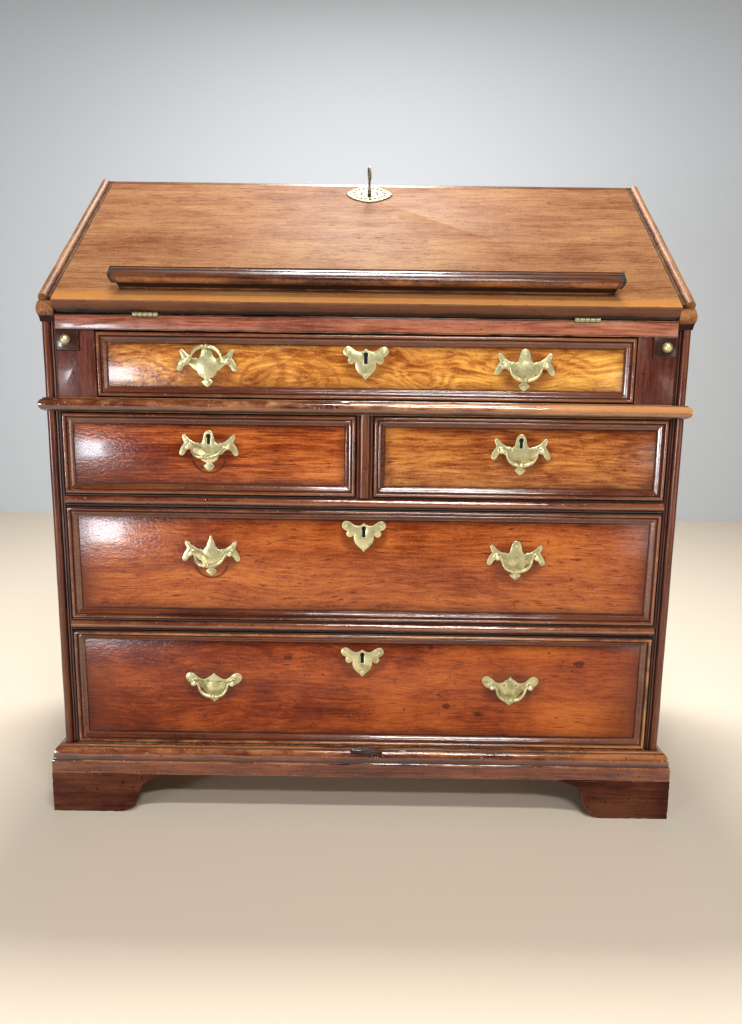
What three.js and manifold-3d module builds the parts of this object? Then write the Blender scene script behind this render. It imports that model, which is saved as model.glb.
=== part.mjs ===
// Slant-front desk in millimetres: a fall lid over a fitted interior, lopers,
// and a chest of drawers on bracket feet.
// +X is the viewer's right, -Y is the front, +Z is up, and the desk stands on z = 0.
import * as THREE from "three";
import { mergeVertices } from "three/addons/utils/BufferGeometryUtils.js";
import Module from "manifold-3d";

const wasm = await Module();
wasm.setup();

// Case
const caseWidth = 914;
const caseDepth = 495;
const sideThickness = 20;
const backThickness = 12;
const bottomThickness = 18;
const topThickness = 21;
const beadProjection = 7; // from the case's front edges to the crest of its beads
const seatGap = 0.3; // between pieces that rest on each other along a slope or run on each other
const overrun = 1; // how far a cut passes the surface it starts from
const weldDistance = 1e-4; // points closer than this are one

// Heights of the front, from the floor up
const footHeight = 62;
const baseMouldingHeight = 43;
const lowerDrawerOpening = 181;
const railHeight = 17;
const middleDrawerOpening = 172;
const shortDrawerOpening = 120;
const waistHeight = 20;
const topDrawerOpening = 94;
const bedThickness = 22;

// Mouldings
const waistProjection = 8;
const baseProjection = 16;
const stripBeadWidth = 14;
const stripFilletHeight = 3;

// Rails between the drawers, each a frame that the drawer above runs on
const frontRailDepth = 55;
const rearRailDepth = 30;
const runnerWidth = 30;
const dividerWidth = 23;
const dividerBeadWidth = 15;
const partitionThickness = 16;

// Bracket feet
const footThickness = 20;
const frontBracketLength = 178;
const sideBracketLength = 150;

// Lid
const lidSlope = THREE.MathUtils.degToRad(38);
const lidLength = 357;
const lidThickness = 22;
const lidSideGap = 1;
const lidEdgeGap = 1;
const topNosing = 10;
const stripSetback = 1; // the crest of the sloping strips below the lid's face

// Ledge across the lid
const ledgeEndInset = 91; // from the lid's end to the foot of the ledge's end
const ledgeFromHinge = 28;
const ledgeBaseDepth = 12;
const ledgeHeight = 28;
const ledgeOverhang = 11;

// Lid hinges
const hingeInset = 127; // from the lid's end to the middle of a hinge
const hingeLength = 36;
const hingeLeafLength = 24;
const hingeLeafThickness = 1.6;
const knuckleRadius = 3.4;
const hingePinRadius = 1.5;
const hingeClearance = 0.4;
const knuckleCount = 5;

// Lid lock, its bolt and key
const lockWidth = 64;
const lockLength = 44;
const lockDepth = 11;
const lockWall = 1.6;
const keyFromLidTop = 30;
const boltWidth = 24;
const boltThickness = 5;
const boltThrow = 8;
const keyShaftRadius = 2.6;
const keyholeRadius = 3.4;
const keyholeDrop = 10;
const keyLength = 45; // from the lid's face to the far side of the bow
const keyBitReach = 8;
const keyBitLength = 5;
const keyBowRadius = 10;
const keyBowWire = 1.8;
const lidPlateWidth = 77;
const lidPlateLength = 58;
const plateThickness = 1.6;

// Drawers
const frontClearance = 1.3;
const fieldDepth = 7; // the drawer fields behind the crest of the case's beads
const frontThickness = 17;
const frameWidth = 15;
const frameHeight = 8;
const drawerSideThickness = 9;
const drawerBottomThickness = 6;
const drawerBottomRise = 4;
const drawerTopClearance = 4;
const drawerBackGap = 18;

// Stile blocks and the lopers beside the top drawer
const stileWidth = 54;
const stileDepth = 40;
const stileSetback = 2;
const guideWall = 11;
const guideShelf = 12;
const loperWidth = 32;
const loperHeight = 28;
const loperLength = 400;
const loperClearance = 0.4;
const loperKnobRadius = 7;
const loperKnobNeck = 3;

// Interior fitting
const rackSetback = 17; // behind the lid's top edge
const rackWall = 6;
const rackFit = 0.4;
const rackCentreHalf = 90;
const rackDrawerHeight = 58;
const rackColumns = 3;
const smallDrawerFront = 8;
const smallDrawerWall = 5;
const smallDrawerGap = 0.6;
const smallKnobRadius = 6;

// Brass handles
const handleInset = 211; // from the inside of the case to the middle of a handle
const postSpacing = 58;
const postRadius = 3;
const postBallRadius = 4.5;
const pivotStandoff = 9.5; // from the drawer's field to the line that the bail turns on
const platesHalfWidth = 43;
const platesHeight = 60.5;
const bailDrop = 21.3;
const bailHalfWidth = 21.5;
const bailRodRadius = 2.2;
const bailEndRadius = 1.6;
const bailEndDepth = 2.5;
const bailKnopRadius = 3;
const postHoleRadius = 2.2;

// The posts' heights above the middle of each drawer's opening
const topPostRise = 5.6;
const shortPostRise = 12;
const middlePostRise = 18;
const lowerPostRise = 10;

// Drawer escutcheons, and the keyholes' places below the top of each opening
const escutcheonHalfWidth = 33;
const escutcheonHeight = 47;
const drawerKeyholeRadius = 2.6;
const drawerKeyholeDrop = 8;
const topKeyDrop = 35;
const middleKeyDrop = 35;
const lowerKeyDrop = 41;
const plateKeyRise = 15; // from a short drawer's posts up to the keyhole in its plate

// Numbers of sides and steps
const turnedSides = 16;
const smallSides = 10;
const pinSides = 8;
const wireSides = 6;
const beadSteps = 8;
const keyholeSteps = 8;
const bailSteps = 12;
const bailQuarters = 4;
const ovalSteps = 64;

// Heights and places that follow from the sizes above
const half = caseWidth / 2;
const innerHalf = half - sideThickness;
const backFace = caseDepth - backThickness;
const baseTop = footHeight + baseMouldingHeight;
const lowerTop = baseTop + lowerDrawerOpening;
const middleBottom = lowerTop + railHeight;
const middleTop = middleBottom + middleDrawerOpening;
const shortBottom = middleTop + railHeight;
const shortTop = shortBottom + shortDrawerOpening;
const waistTop = shortTop + waistHeight;
const bedUnderside = waistTop + topDrawerOpening;
const bedTop = bedUnderside + bedThickness;
const stripBase = lidThickness - stripSetback - beadProjection;
const lidTopEdge = lidEdgeGap + lidLength;
const topEdge = lidTopEdge + lidEdgeGap;
const slopeEnd = topEdge + topNosing;
const fieldPlane = fieldDepth;
const plateFace = fieldPlane - plateThickness;
const pivotPlane = fieldPlane - pivotStandoff;
const drawerBackPlane = backFace - drawerBackGap;
const blockInner = innerHalf - stileWidth;
const lidHalf = innerHalf - lidSideGap;
const hingeOffset = lidHalf - hingeInset;
const ledgeBaseHalfLength = lidHalf - ledgeEndInset;
const handleOffset = innerHalf - handleInset;
const keyPlace = lidTopEdge - keyFromLidTop;

// A place on the lid's slope: along runs up the slope from the hinge line, and out is square to it.
const slopePoint = (along, out) => [
  along * Math.cos(lidSlope) - out * Math.sin(lidSlope),
  bedTop + along * Math.sin(lidSlope) + out * Math.cos(lidSlope),
];
const slopeHeightAt = (y, out) => bedTop + y * Math.tan(lidSlope) + out / Math.cos(lidSlope);
const slopeOutAt = (along, z) => (z - bedTop - along * Math.sin(lidSlope)) / Math.cos(lidSlope);
const deskTop = slopePoint(slopeEnd, lidThickness - stripSetback)[1];
const topUnderside = deskTop - topThickness;

// Finishes
const finish = (color, roughness, metalness) => ({ color, roughness, metalness });
const caseWood = finish(0x4a2213, 0.42, 0);
const lidWood = finish(0x8a4a26, 0.35, 0);
const drawerWood = finish(0x8c4420, 0.35, 0);
const goldenWood = finish(0xb06a2c, 0.35, 0);
const liningWood = finish(0x9c7a4e, 0.75, 0);
const brass = finish(0xbfb784, 0.35, 1);
const steel = finish(0x6c6862, 0.45, 1);

const desk = new THREE.Group();
const lid = new THREE.Group();
lid.position.z = bedTop;
lid.rotation.x = lidSlope;
desk.add(lid);

// A closed geometry as a manifold solid, and back
function solid(geometry) {
  const bare = geometry.clone();
  bare.deleteAttribute("normal");
  bare.deleteAttribute("uv");
  const merged = mergeVertices(bare, weldDistance);
  return new wasm.Manifold(
    new wasm.Mesh({
      numProp: 3,
      vertProperties: merged.attributes.position.array,
      triVerts: new Uint32Array(merged.index.array),
    }),
  );
}

function piece(name, body, look, group = desk) {
  const mesh = body.getMesh();
  const geometry = new THREE.BufferGeometry();
  geometry.setAttribute("position", new THREE.BufferAttribute(mesh.vertProperties, 3));
  geometry.setIndex(new THREE.BufferAttribute(mesh.triVerts, 1));
  geometry.computeVertexNormals();
  const made = new THREE.Mesh(geometry, new THREE.MeshStandardMaterial(look));
  made.name = name;
  group.add(made);
  return made;
}

const union = (...bodies) => bodies.reduce((sum, body) => sum.add(body));
const mirrored = (body) => body.mirror([1, 0, 0]);

function box(x, y, z) {
  const size = [x, y, z].map(([low, high]) => high - low);
  const middle = [x, y, z].map(([low, high]) => (low + high) / 2);
  return solid(new THREE.BoxGeometry(...size).translate(...middle));
}

// Extrusions of an outline along X (points are y, z), along Y (points are x, z) and along Z (points are x, y)
function extruded(points, depth, holes = []) {
  const shape = new THREE.Shape(points.map(([a, b]) => new THREE.Vector2(a, b)));
  shape.holes = holes.map((hole) => new THREE.Path(hole.map(([a, b]) => new THREE.Vector2(a, b))));
  return new THREE.ExtrudeGeometry(shape, { depth, bevelEnabled: false, steps: 1 });
}

function alongX(points, [low, high]) {
  const turn = new THREE.Matrix4().makeBasis(
    new THREE.Vector3(0, 1, 0),
    new THREE.Vector3(0, 0, 1),
    new THREE.Vector3(1, 0, 0),
  );
  return solid(extruded(points, high - low).applyMatrix4(turn).translate(low, 0, 0));
}

function alongY(points, [low, high], holes = []) {
  return solid(extruded(points, high - low, holes).rotateX(Math.PI / 2).translate(0, high, 0));
}

function alongZ(points, [low, high], holes = []) {
  return solid(extruded(points, high - low, holes).translate(0, 0, low));
}

// A closed surface through rings of as many points each: open rings get end caps, a closed run joins up.
function loft(rings, section, closed = false) {
  const count = section.length;
  const positions = rings.flat().flat();
  const index = [];
  const spans = closed ? rings.length : rings.length - 1;
  for (let ring = 0; ring < spans; ring += 1) {
    const next = (ring + 1) % rings.length;
    for (let i = 0; i < count; i += 1) {
      const j = (i + 1) % count;
      const [a, b, c, d] = [ring * count + i, ring * count + j, next * count + j, next * count + i];
      index.push(a, b, c, a, c, d);
    }
  }
  if (!closed) {
    const contour = section.map(([a, b]) => new THREE.Vector2(a, b));
    const last = (rings.length - 1) * count;
    const forward = Math.sign(THREE.ShapeUtils.area(contour));
    for (const [a, b, c] of THREE.ShapeUtils.triangulateShape(contour, [])) {
      const turns = Math.sign(THREE.ShapeUtils.area([contour[a], contour[b], contour[c]]));
      const [p, q, r] = turns === forward ? [a, b, c] : [a, c, b];
      index.push(r, q, p, last + p, last + q, last + r);
    }
  }
  const geometry = new THREE.BufferGeometry();
  geometry.setAttribute("position", new THREE.Float32BufferAttribute(positions, 3));
  geometry.setIndex(index);
  return facingOut(geometry);
}

// Turns every face round where a lofted surface came out inside out
function facingOut(geometry) {
  const body = solid(geometry);
  if (body.volume() > 0) return body;
  const index = geometry.index.array;
  for (let i = 0; i < index.length; i += 3) [index[i], index[i + 1]] = [index[i + 1], index[i]];
  return solid(geometry);
}

// Points along half of an ellipse, from one end of its base to the other
function halfRound(baseLow, baseHigh, projection, steps) {
  const middle = (baseLow + baseHigh) / 2;
  const radius = (baseHigh - baseLow) / 2;
  return Array.from({ length: steps + 1 }, (_, i) => {
    const angle = (Math.PI * i) / steps;
    const rise = i % steps ? Math.sin(angle) : 0;
    return [middle - radius * Math.cos(angle), projection * rise];
  });
}

function rod(radius, from, to, sides) {
  const [start, end] = [new THREE.Vector3(...from), new THREE.Vector3(...to)];
  const geometry = new THREE.CylinderGeometry(radius, radius, start.distanceTo(end), sides);
  const direction = end.clone().sub(start).normalize();
  geometry.applyQuaternion(new THREE.Quaternion().setFromUnitVectors(new THREE.Vector3(0, 1, 0), direction));
  return solid(geometry.translate(...start.add(end).multiplyScalar(1 / 2).toArray()));
}

function ball(radius, centre, sides) {
  return solid(new THREE.SphereGeometry(radius, sides, Math.round(sides / 2)).translate(...centre));
}

// Section of the strips on the front edges of the sides: a round bead outside, a low fillet inside.
// Each point is the distance in from the case's outer face, and the height above the edge.
const stripSection = [
  [0, 0],
  ...halfRound(0, stripBeadWidth, beadProjection, beadSteps).slice(1, -1),
  [stripBeadWidth, stripFilletHeight],
  [sideThickness, stripFilletHeight],
  [sideThickness, 0],
];

function sidePanel(name, sign) {
  const outline = [
    [beadProjection, footHeight],
    [caseDepth, footHeight],
    [caseDepth, topUnderside],
    slopePoint(slopeEnd, slopeOutAt(slopeEnd, topUnderside)),
    slopePoint(slopeEnd, stripBase),
    [beadProjection, slopeHeightAt(beadProjection, stripBase)],
  ];
  const panel = alongX(outline, [innerHalf, half]);
  const frontAt = (up) => beadProjection - up;
  const run = [
    stripSection.map(([across, up]) => [half - across, frontAt(up), footHeight]),
    stripSection.map(([across, up]) => [
      half - across,
      frontAt(up),
      slopeHeightAt(frontAt(up), stripBase + up),
    ]),
    stripSection.map(([across, up]) => [half - across, ...slopePoint(slopeEnd, stripBase + up)]),
  ];
  const side = panel.add(loft(run, stripSection));
  piece(name, sign > 0 ? side : mirrored(side), caseWood);
}

// A moulding that runs round both sides and the front, mitred at the corners
function wrapMoulding(section) {
  const corners = [
    (out, z) => [-half - out, caseDepth, z],
    (out, z) => [-half - out, -out, z],
    (out, z) => [half + out, -out, z],
    (out, z) => [half + out, caseDepth, z],
  ];
  return loft(corners.map((place) => section.map(([out, z]) => place(out, z))), section);
}

// Shares of the base moulding's projection and height: flat fascia, step, ovolo and top fillet
const baseShares = [
  [0, 0], [1, 0], [1, 0.52], [0.88, 0.56], [0.86, 0.66], [0.72, 0.8], [0.42, 0.9], [0.36, 1], [0, 1],
];

// A drawer frame: front rail, two runners and a rear rail, between the sides
function dustFrame(bottom, top, width) {
  const bead = halfRound(bottom, top, beadProjection, beadSteps);
  const frontEdge = bead.map(([z, up]) => [beadProjection - up, z]);
  const outline = [[frontRailDepth, bottom], ...frontEdge, [frontRailDepth, top]];
  const rail = alongX(outline.reverse(), [-innerHalf, innerHalf]);
  return rail.add(runners(bottom, top, width));
}

function runners(bottom, top, width) {
  const side = box([innerHalf - width, innerHalf], [frontRailDepth - overrun, backFace], [bottom, top]);
  const rear = box([-innerHalf, innerHalf], [backFace - rearRailDepth, backFace], [bottom, top]);
  return union(side, mirrored(side), rear);
}

function waistRail() {
  const nose = halfRound(shortTop, waistTop, waistProjection, beadSteps).map(([z, out]) => [out, z]);
  const moulding = wrapMoulding(nose);
  const rail = box([-innerHalf, innerHalf], [0, frontRailDepth], [shortTop, waistTop]);
  const width = stileWidth + runnerWidth;
  piece("waist_rail", union(moulding, rail, runners(shortTop, waistTop, width)), caseWood);
}

function dividedRail() {
  const frame = dustFrame(middleTop, shortBottom, runnerWidth);
  const centreRunner = box(
    [-dividerWidth / 2 - runnerWidth, dividerWidth / 2 + runnerWidth],
    [frontRailDepth - overrun, backFace],
    [middleTop, shortBottom],
  );
  const face = beadProjection - stripFilletHeight;
  const bead = halfRound(-dividerBeadWidth / 2, dividerBeadWidth / 2, face, beadSteps);
  const outline = [
    [dividerWidth / 2, frontRailDepth],
    [dividerWidth / 2, face],
    ...bead.map(([x, up]) => [-x, face - up]),
    [-dividerWidth / 2, face],
    [-dividerWidth / 2, frontRailDepth],
  ];
  const stile = alongZ(outline.reverse(), [shortBottom - overrun, shortTop]);
  const partition = box(
    [-partitionThickness / 2, partitionThickness / 2],
    [frontRailDepth - overrun, backFace],
    [shortBottom - overrun, shortTop],
  );
  piece("divided_rail", union(frame, centreRunner, stile, partition), caseWood);
}

// Shares of a bracket's length and height, from its toe on the floor to its top
const bracketShares = [
  [0.57, 0], [0.62, 0.03], [0.68, 0.13], [0.725, 0.32], [0.75, 0.6],
  [0.79, 0.77], [0.86, 0.89], [0.94, 0.96], [1, 1],
];

function foot(name, sign, atFront) {
  const outer = half + baseProjection;
  const front = atFront ? -baseProjection : caseDepth;
  const inward = atFront ? 1 : -1;
  const bracket = (length) => [
    [0, 0],
    ...bracketShares.map(([a, b]) => [a * length, b * footHeight]),
    [0, footHeight],
  ];
  const face = bracket(frontBracketLength).map(([a, z]) => [outer - a, z]);
  const faceSpan = [front, front + inward * footThickness].sort((a, b) => a - b);
  const flank = bracket(sideBracketLength).map(([a, z]) => [front + inward * a, z]);
  const made = union(
    alongY(face.reverse(), faceSpan),
    alongX(atFront ? flank : flank.reverse(), [outer - footThickness, outer]),
  );
  piece(name, sign > 0 ? made : mirrored(made), caseWood);
}

// The stile beside the top drawer, with the wall and shelf that guide the loper behind it
function loperBlock(name, sign) {
  const channel = [bedUnderside - loperHeight - 2 * loperClearance, bedUnderside];
  const loperInner = innerHalf - loperWidth - 3 * loperClearance;
  const guideRun = [stileDepth - overrun, backFace];
  const block = box([blockInner, innerHalf], [stileSetback, stileDepth], [waistTop, bedUnderside]);
  const wall = box([blockInner, blockInner + guideWall], guideRun, [waistTop, bedUnderside]);
  const shelf = box([blockInner, innerHalf], guideRun, [channel[0] - guideShelf, channel[0]]);
  const notch = box(
    [loperInner, innerHalf + overrun],
    [stileSetback - overrun, stileDepth + overrun],
    [channel[0], channel[1] + overrun],
  );
  const made = union(block, wall, shelf).subtract(notch);
  piece(name, sign > 0 ? made : mirrored(made), caseWood);
}

function loper(name, sign) {
  const inner = innerHalf - loperWidth - loperClearance;
  const top = bedUnderside - loperClearance;
  const front = stileSetback / 2;
  const bar = box([inner, inner + loperWidth], [front, front + loperLength], [top - loperHeight, top]);
  const at = (y) => [inner + loperWidth / 2, y, top - loperHeight / 2];
  const neckEnd = front - loperKnobNeck - loperKnobRadius;
  const knob = ball(loperKnobRadius, at(neckEnd), smallSides);
  const neck = rod(loperKnobRadius / 2, at(front + overrun), at(neckEnd), smallSides);
  const made = union(bar, neck, knob);
  piece(name, sign > 0 ? made : mirrored(made), caseWood);
}

// Outline of a brass plate from shares of its half width and height, given for its right half
const plateOutline = (shares, halfWidth, height, centreX, centreZ) => [
  ...shares.map(([a, b]) => [centreX + a * halfWidth, centreZ + b * height]),
  ...shares.slice(1, -1).reverse().map(([a, b]) => [centreX - a * halfWidth, centreZ + b * height]),
];

// Keyhole: a round eye with a slot below it
function keyhole(radius, drop, x, z) {
  const slot = radius / 2;
  const turn = Math.asin(slot / radius);
  const eye = Array.from({ length: keyholeSteps + 1 }, (_, i) => {
    const angle = -Math.PI / 2 + turn + ((2 * Math.PI - 2 * turn) * i) / keyholeSteps;
    return [x + radius * Math.cos(angle), z + radius * Math.sin(angle)];
  });
  return [...eye, [x - slot, z - drop], [x + slot, z - drop]];
}

// Handle plates: winged on the three upper rows, and round lobes on the lowest
const wingedShares = [
  [0, 0.385], [0.08, 0.35], [0.2, 0.272], [0.233, 0.165], [0.205, 0.075], [0.28, 0.025], [0.44, 0.03],
  [0.56, 0.06], [0.66, 0.11], [0.71, 0.18], [0.7, 0.25], [0.745, 0.305], [0.835, 0.3], [0.87, 0.23],
  [0.835, 0.155], [0.8, 0.1], [0.85, 0.04], [0.93, -0.035], [1, -0.115], [0.975, -0.2], [0.87, -0.215],
  [0.79, -0.165], [0.73, -0.1], [0.65, -0.075], [0.545, -0.065], [0.465, -0.1], [0.43, -0.18],
  [0.325, -0.27], [0.21, -0.32], [0.14, -0.355], [0.18, -0.445], [0.093, -0.51], [0, -0.595],
];
const lobedShares = [
  [0, 0.23], [0.07, 0.157], [0.16, 0.115], [0.3, 0.058], [0.42, 0.04], [0.56, 0.083], [0.65, 0.15],
  [0.77, 0.215], [0.91, 0.215], [0.99, 0.13], [0.965, 0.033], [0.86, -0.033], [0.73, -0.1], [0.65, -0.115],
  [0.56, -0.1], [0.465, -0.13], [0.43, -0.215], [0.325, -0.305], [0.21, -0.355], [0.14, -0.38],
  [0.175, -0.46], [0.093, -0.51], [0, -0.545],
];
const escutcheonShares = [
  [0, 0.3], [0.12, 0.255], [0.27, 0.18], [0.42, 0.19], [0.6, 0.277], [0.76, 0.362], [0.91, 0.362],
  [1, 0.266], [0.955, 0.16], [0.8, 0.064], [0.77, -0.043], [0.757, -0.128], [0.59, -0.191],
  [0.485, -0.138], [0.41, -0.064], [0.373, -0.149], [0.424, -0.255], [0.364, -0.362], [0.227, -0.468],
  [0.09, -0.553], [0, -0.638],
];

function handlePlate(name, centreX, postZ, shares, holes) {
  const outline = plateOutline(shares, platesHalfWidth, platesHeight, centreX, postZ);
  const bodies = [alongY(outline.reverse(), [plateFace, fieldPlane], holes)];
  const cuts = [];
  for (const side of [-1, 1]) {
    const x = centreX + (side * postSpacing) / 2;
    const tip = [x, pivotPlane, postZ];
    const reach = postBallRadius + overrun;
    bodies.push(rod(postRadius, [x, plateFace + plateThickness / 2, postZ], tip, smallSides));
    bodies.push(ball(postBallRadius, tip, smallSides));
    cuts.push(rod(postHoleRadius, [x - side * reach, pivotPlane, postZ], tip, smallSides));
  }
  const posted = union(...bodies);
  piece(name, cuts.reduce((body, cut) => body.subtract(cut), posted), brass);
}

// Shares of the bail's half width and drop, from where it leaves the post to its middle
const bailShares = [[1.04, 0], [1, -0.22], [0.84, -0.6], [0.46, -0.9], [0, -1]];

// The bail is drawn hanging, and its group is turned up from that about the line through the posts.
function bail(name, centreX, postZ, restDegrees) {
  const group = new THREE.Group();
  group.position.set(centreX, pivotPlane, postZ);
  group.rotation.x = -THREE.MathUtils.degToRad(restDegrees);
  desk.add(group);
  const end = postSpacing / 2 - postBallRadius + bailEndDepth;
  const places = bailShares.map(([a, b]) => [a * bailHalfWidth, b * bailDrop]);
  const left = places.map(([x, z]) => new THREE.Vector3(-x, 0, z));
  const right = places.slice(0, -1).reverse().map(([x, z]) => new THREE.Vector3(x, 0, z));
  const path = new THREE.CatmullRomCurve3([...left, ...right], false, "centripetal");
  const section = new THREE.Shape().absarc(0, 0, bailRodRadius, 0, 2 * Math.PI);
  const sweep = new THREE.ExtrudeGeometry(section, {
    extrudePath: path,
    steps: bailSteps,
    curveSegments: bailQuarters,
  });
  const tip = bailShares[0][0] * bailHalfWidth - bailRodRadius;
  const pins = [-1, 1].map((side) => rod(bailEndRadius, [side * tip, 0, 0], [side * end, 0, 0], pinSides));
  const knop = ball(bailKnopRadius, [0, 0, -bailDrop], pinSides);
  piece(name, union(solid(sweep), ...pins, knop), brass, group);
}

function escutcheon(name, keyZ) {
  const outline = plateOutline(escutcheonShares, escutcheonHalfWidth, escutcheonHeight, 0, keyZ);
  const hole = keyhole(drawerKeyholeRadius, drawerKeyholeDrop, 0, keyZ + drawerKeyholeDrop / 2);
  piece(name, alongY(outline.reverse(), [plateFace, fieldPlane], [hole]), brass);
}

// Shares of the applied frame's width and height: outer fillet, crest, and the fall to the field
const frameShares = [
  [0, -0.12], [0, 0.75], [0.18, 0.75], [0.2, 1], [0.45, 1], [0.58, 0.82], [0.78, 0.38], [1, 0.2], [1, -0.12],
];

function drawer(name, [left, right], [bottom, top], look) {
  const [x0, x1] = [left + frontClearance, right - frontClearance];
  const [z0, z1] = [bottom + frontClearance, top - frontClearance];
  const back = fieldPlane + frontThickness;
  const board = box([x0, x1], [fieldPlane, back], [z0, z1]);
  const section = frameShares.map(([a, b]) => [a * frameWidth, b * frameHeight]);
  const corners = [[x0, z0, 1, 1], [x1, z0, -1, 1], [x1, z1, -1, -1], [x0, z1, 1, -1]];
  const rings = corners.map(([x, z, dx, dz]) =>
    section.map(([inward, up]) => [x + dx * inward, fieldPlane - up, z + dz * inward]),
  );
  piece(name + "_front", board.add(loft(rings, section, true)), look);

  const [low, high] = [bottom + seatGap, top - drawerTopClearance];
  const outer = box([x0, x1], [back, drawerBackPlane], [low, high]);
  const inside = box(
    [x0 + drawerSideThickness, x1 - drawerSideThickness],
    [back - overrun, drawerBackPlane - drawerSideThickness],
    [low + drawerBottomRise + drawerBottomThickness, high + overrun],
  );
  const under = box(
    [x0 + drawerSideThickness, x1 - drawerSideThickness],
    [back - overrun, drawerBackPlane + overrun],
    [low - overrun, low + drawerBottomRise],
  );
  piece(name + "_box", outer.subtract(inside).subtract(under), liningWood);
}

// The lid's own pieces are drawn flat: x across, y up the slope, z out from the inner face.
const hingeSides = [[-1, "left"], [1, "right"]];
const knuckleStep = hingeLength / knuckleCount;
const knuckleSpan = (centre, i) => [
  centre - hingeLength / 2 + i * knuckleStep + hingeClearance / 2,
  centre - hingeLength / 2 + (i + 1) * knuckleStep - hingeClearance / 2,
];
const knuckleRelief = knuckleRadius + 2 * hingeClearance;
const knuckleTabShare = 0.75; // of the knuckle's radius, where its tab to the leaf starts
const leafRelief = hingeLength / 2 + hingeClearance;

function lidPanel() {
  const lockHalf = lockWidth / 2 + seatGap;
  let body = box([-lidHalf, lidHalf], [lidEdgeGap, lidTopEdge], [0, lidThickness]);
  for (const [sign] of hingeSides) {
    const x = [sign * hingeOffset - leafRelief, sign * hingeOffset + leafRelief];
    const leafSeat = [-overrun, hingeLeafLength + hingeClearance];
    body = body.subtract(box(x, leafSeat, [-overrun, hingeLeafThickness + hingeClearance]));
    body = body.subtract(box(x, [-overrun, knuckleRelief], [-overrun, knuckleRelief]));
  }
  const lockSeat = [lidTopEdge - lockLength - seatGap, lidTopEdge + overrun];
  body = body.subtract(box([-lockHalf, lockHalf], lockSeat, [-overrun, lockDepth + seatGap]));
  const hole = keyhole(keyholeRadius, keyholeDrop, 0, keyPlace);
  body = body.subtract(alongZ(hole, [0, lidThickness + overrun]));
  piece("lid_panel", body, lidWood, lid);
}

// Shares of the ledge's overhang and height: it swells out under the lip
const ledgeShares = [[0, 0], [0.14, 0.11], [0.2, 0.3], [0.45, 0.5], [0.82, 0.64], [1, 0.75], [1, 1]];

function bookLedge() {
  const rings = ledgeShares.map(([out, up]) => {
    const x = ledgeBaseHalfLength + out * ledgeOverhang;
    const [low, high] = [ledgeFromHinge - out * ledgeOverhang, ledgeFromHinge + ledgeBaseDepth];
    const z = lidThickness + seatGap + up * ledgeHeight;
    return [[-x, low, z], [x, low, z], [x, high, z], [-x, high, z]];
  });
  const section = [[-1, -1], [1, -1], [1, 1], [-1, 1]];
  piece("book_ledge", loft(rings, section), lidWood, lid);
}

function hinge(sign, side) {
  const centre = sign * hingeOffset;
  const wide = [centre - hingeLength / 2, centre + hingeLength / 2];
  const pin = rod(hingePinRadius, [wide[0], 0, 0], [wide[1], 0, 0], smallSides);
  const fixed = [pin];
  const moving = [];
  for (let i = 0; i < knuckleCount; i += 1) {
    const [from, to] = knuckleSpan(centre, i);
    const barrel = rod(knuckleRadius, [from, 0, 0], [to, 0, 0], smallSides);
    const tab = [knuckleRadius * knuckleTabShare, knuckleRelief + overrun];
    if (i % 2 === 0) {
      fixed.push(barrel, box([from, to], tab, [-hingeLeafThickness, 0]));
    } else {
      const boreRadius = hingePinRadius + hingeClearance;
      const bore = rod(boreRadius, [from - overrun, 0, 0], [to + overrun, 0, 0], smallSides);
      moving.push(barrel.subtract(bore), box([from, to], tab, [0, hingeLeafThickness]));
    }
  }
  const leaf = [knuckleRelief, hingeLeafLength];
  fixed.push(box(wide, leaf, [-hingeLeafThickness, 0]));
  moving.push(box(wide, leaf, [0, hingeLeafThickness]));
  piece(`hinge_${side}_fixed_leaf`, union(...fixed).translate([0, 0, bedTop]), brass);
  piece(`hinge_${side}_lid_leaf`, union(...moving), brass, lid);
}

function writingBed() {
  let body = box([-innerHalf, innerHalf], [0, backFace], [bedUnderside, bedTop]);
  for (const [sign] of hingeSides) {
    const x = [sign * hingeOffset - leafRelief, sign * hingeOffset + leafRelief];
    const leafSeat = [-overrun, hingeLeafLength + hingeClearance];
    const leafDepth = [bedTop - hingeLeafThickness - seatGap, bedTop + overrun];
    body = body.subtract(box(x, leafSeat, leafDepth));
    body = body.subtract(box(x, [-overrun, knuckleRelief], [bedTop - knuckleRelief, bedTop + overrun]));
  }
  piece("writing_bed", body, caseWood);
}

// Lock: an open tray let into the lid's inner face, with a bolt that shoots into the top board
const boltLow = (lockDepth - boltThickness) / 2;
const boltSpan = [boltLow, boltLow + boltThickness];

function lidLock() {
  const [low, high] = [lidTopEdge - lockLength, lidTopEdge - seatGap];
  const body = box([-lockWidth / 2, lockWidth / 2], [low, high], [0, lockDepth]);
  const hollow = box(
    [-lockWidth / 2 + lockWall, lockWidth / 2 - lockWall],
    [low + lockWall, high - lockWall],
    [lockWall, lockDepth + overrun],
  );
  const slot = box(
    [-boltWidth / 2 - seatGap, boltWidth / 2 + seatGap],
    [high - lockWall - overrun, high + overrun],
    [boltSpan[0] - seatGap, boltSpan[1] + seatGap],
  );
  piece("lid_lock", body.subtract(hollow).subtract(slot), steel, lid);
  const bolt = box([-boltWidth / 2, boltWidth / 2], [keyPlace + keyBitReach + seatGap, high], boltSpan);
  piece("lock_bolt", bolt, steel, lid);
}

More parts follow.
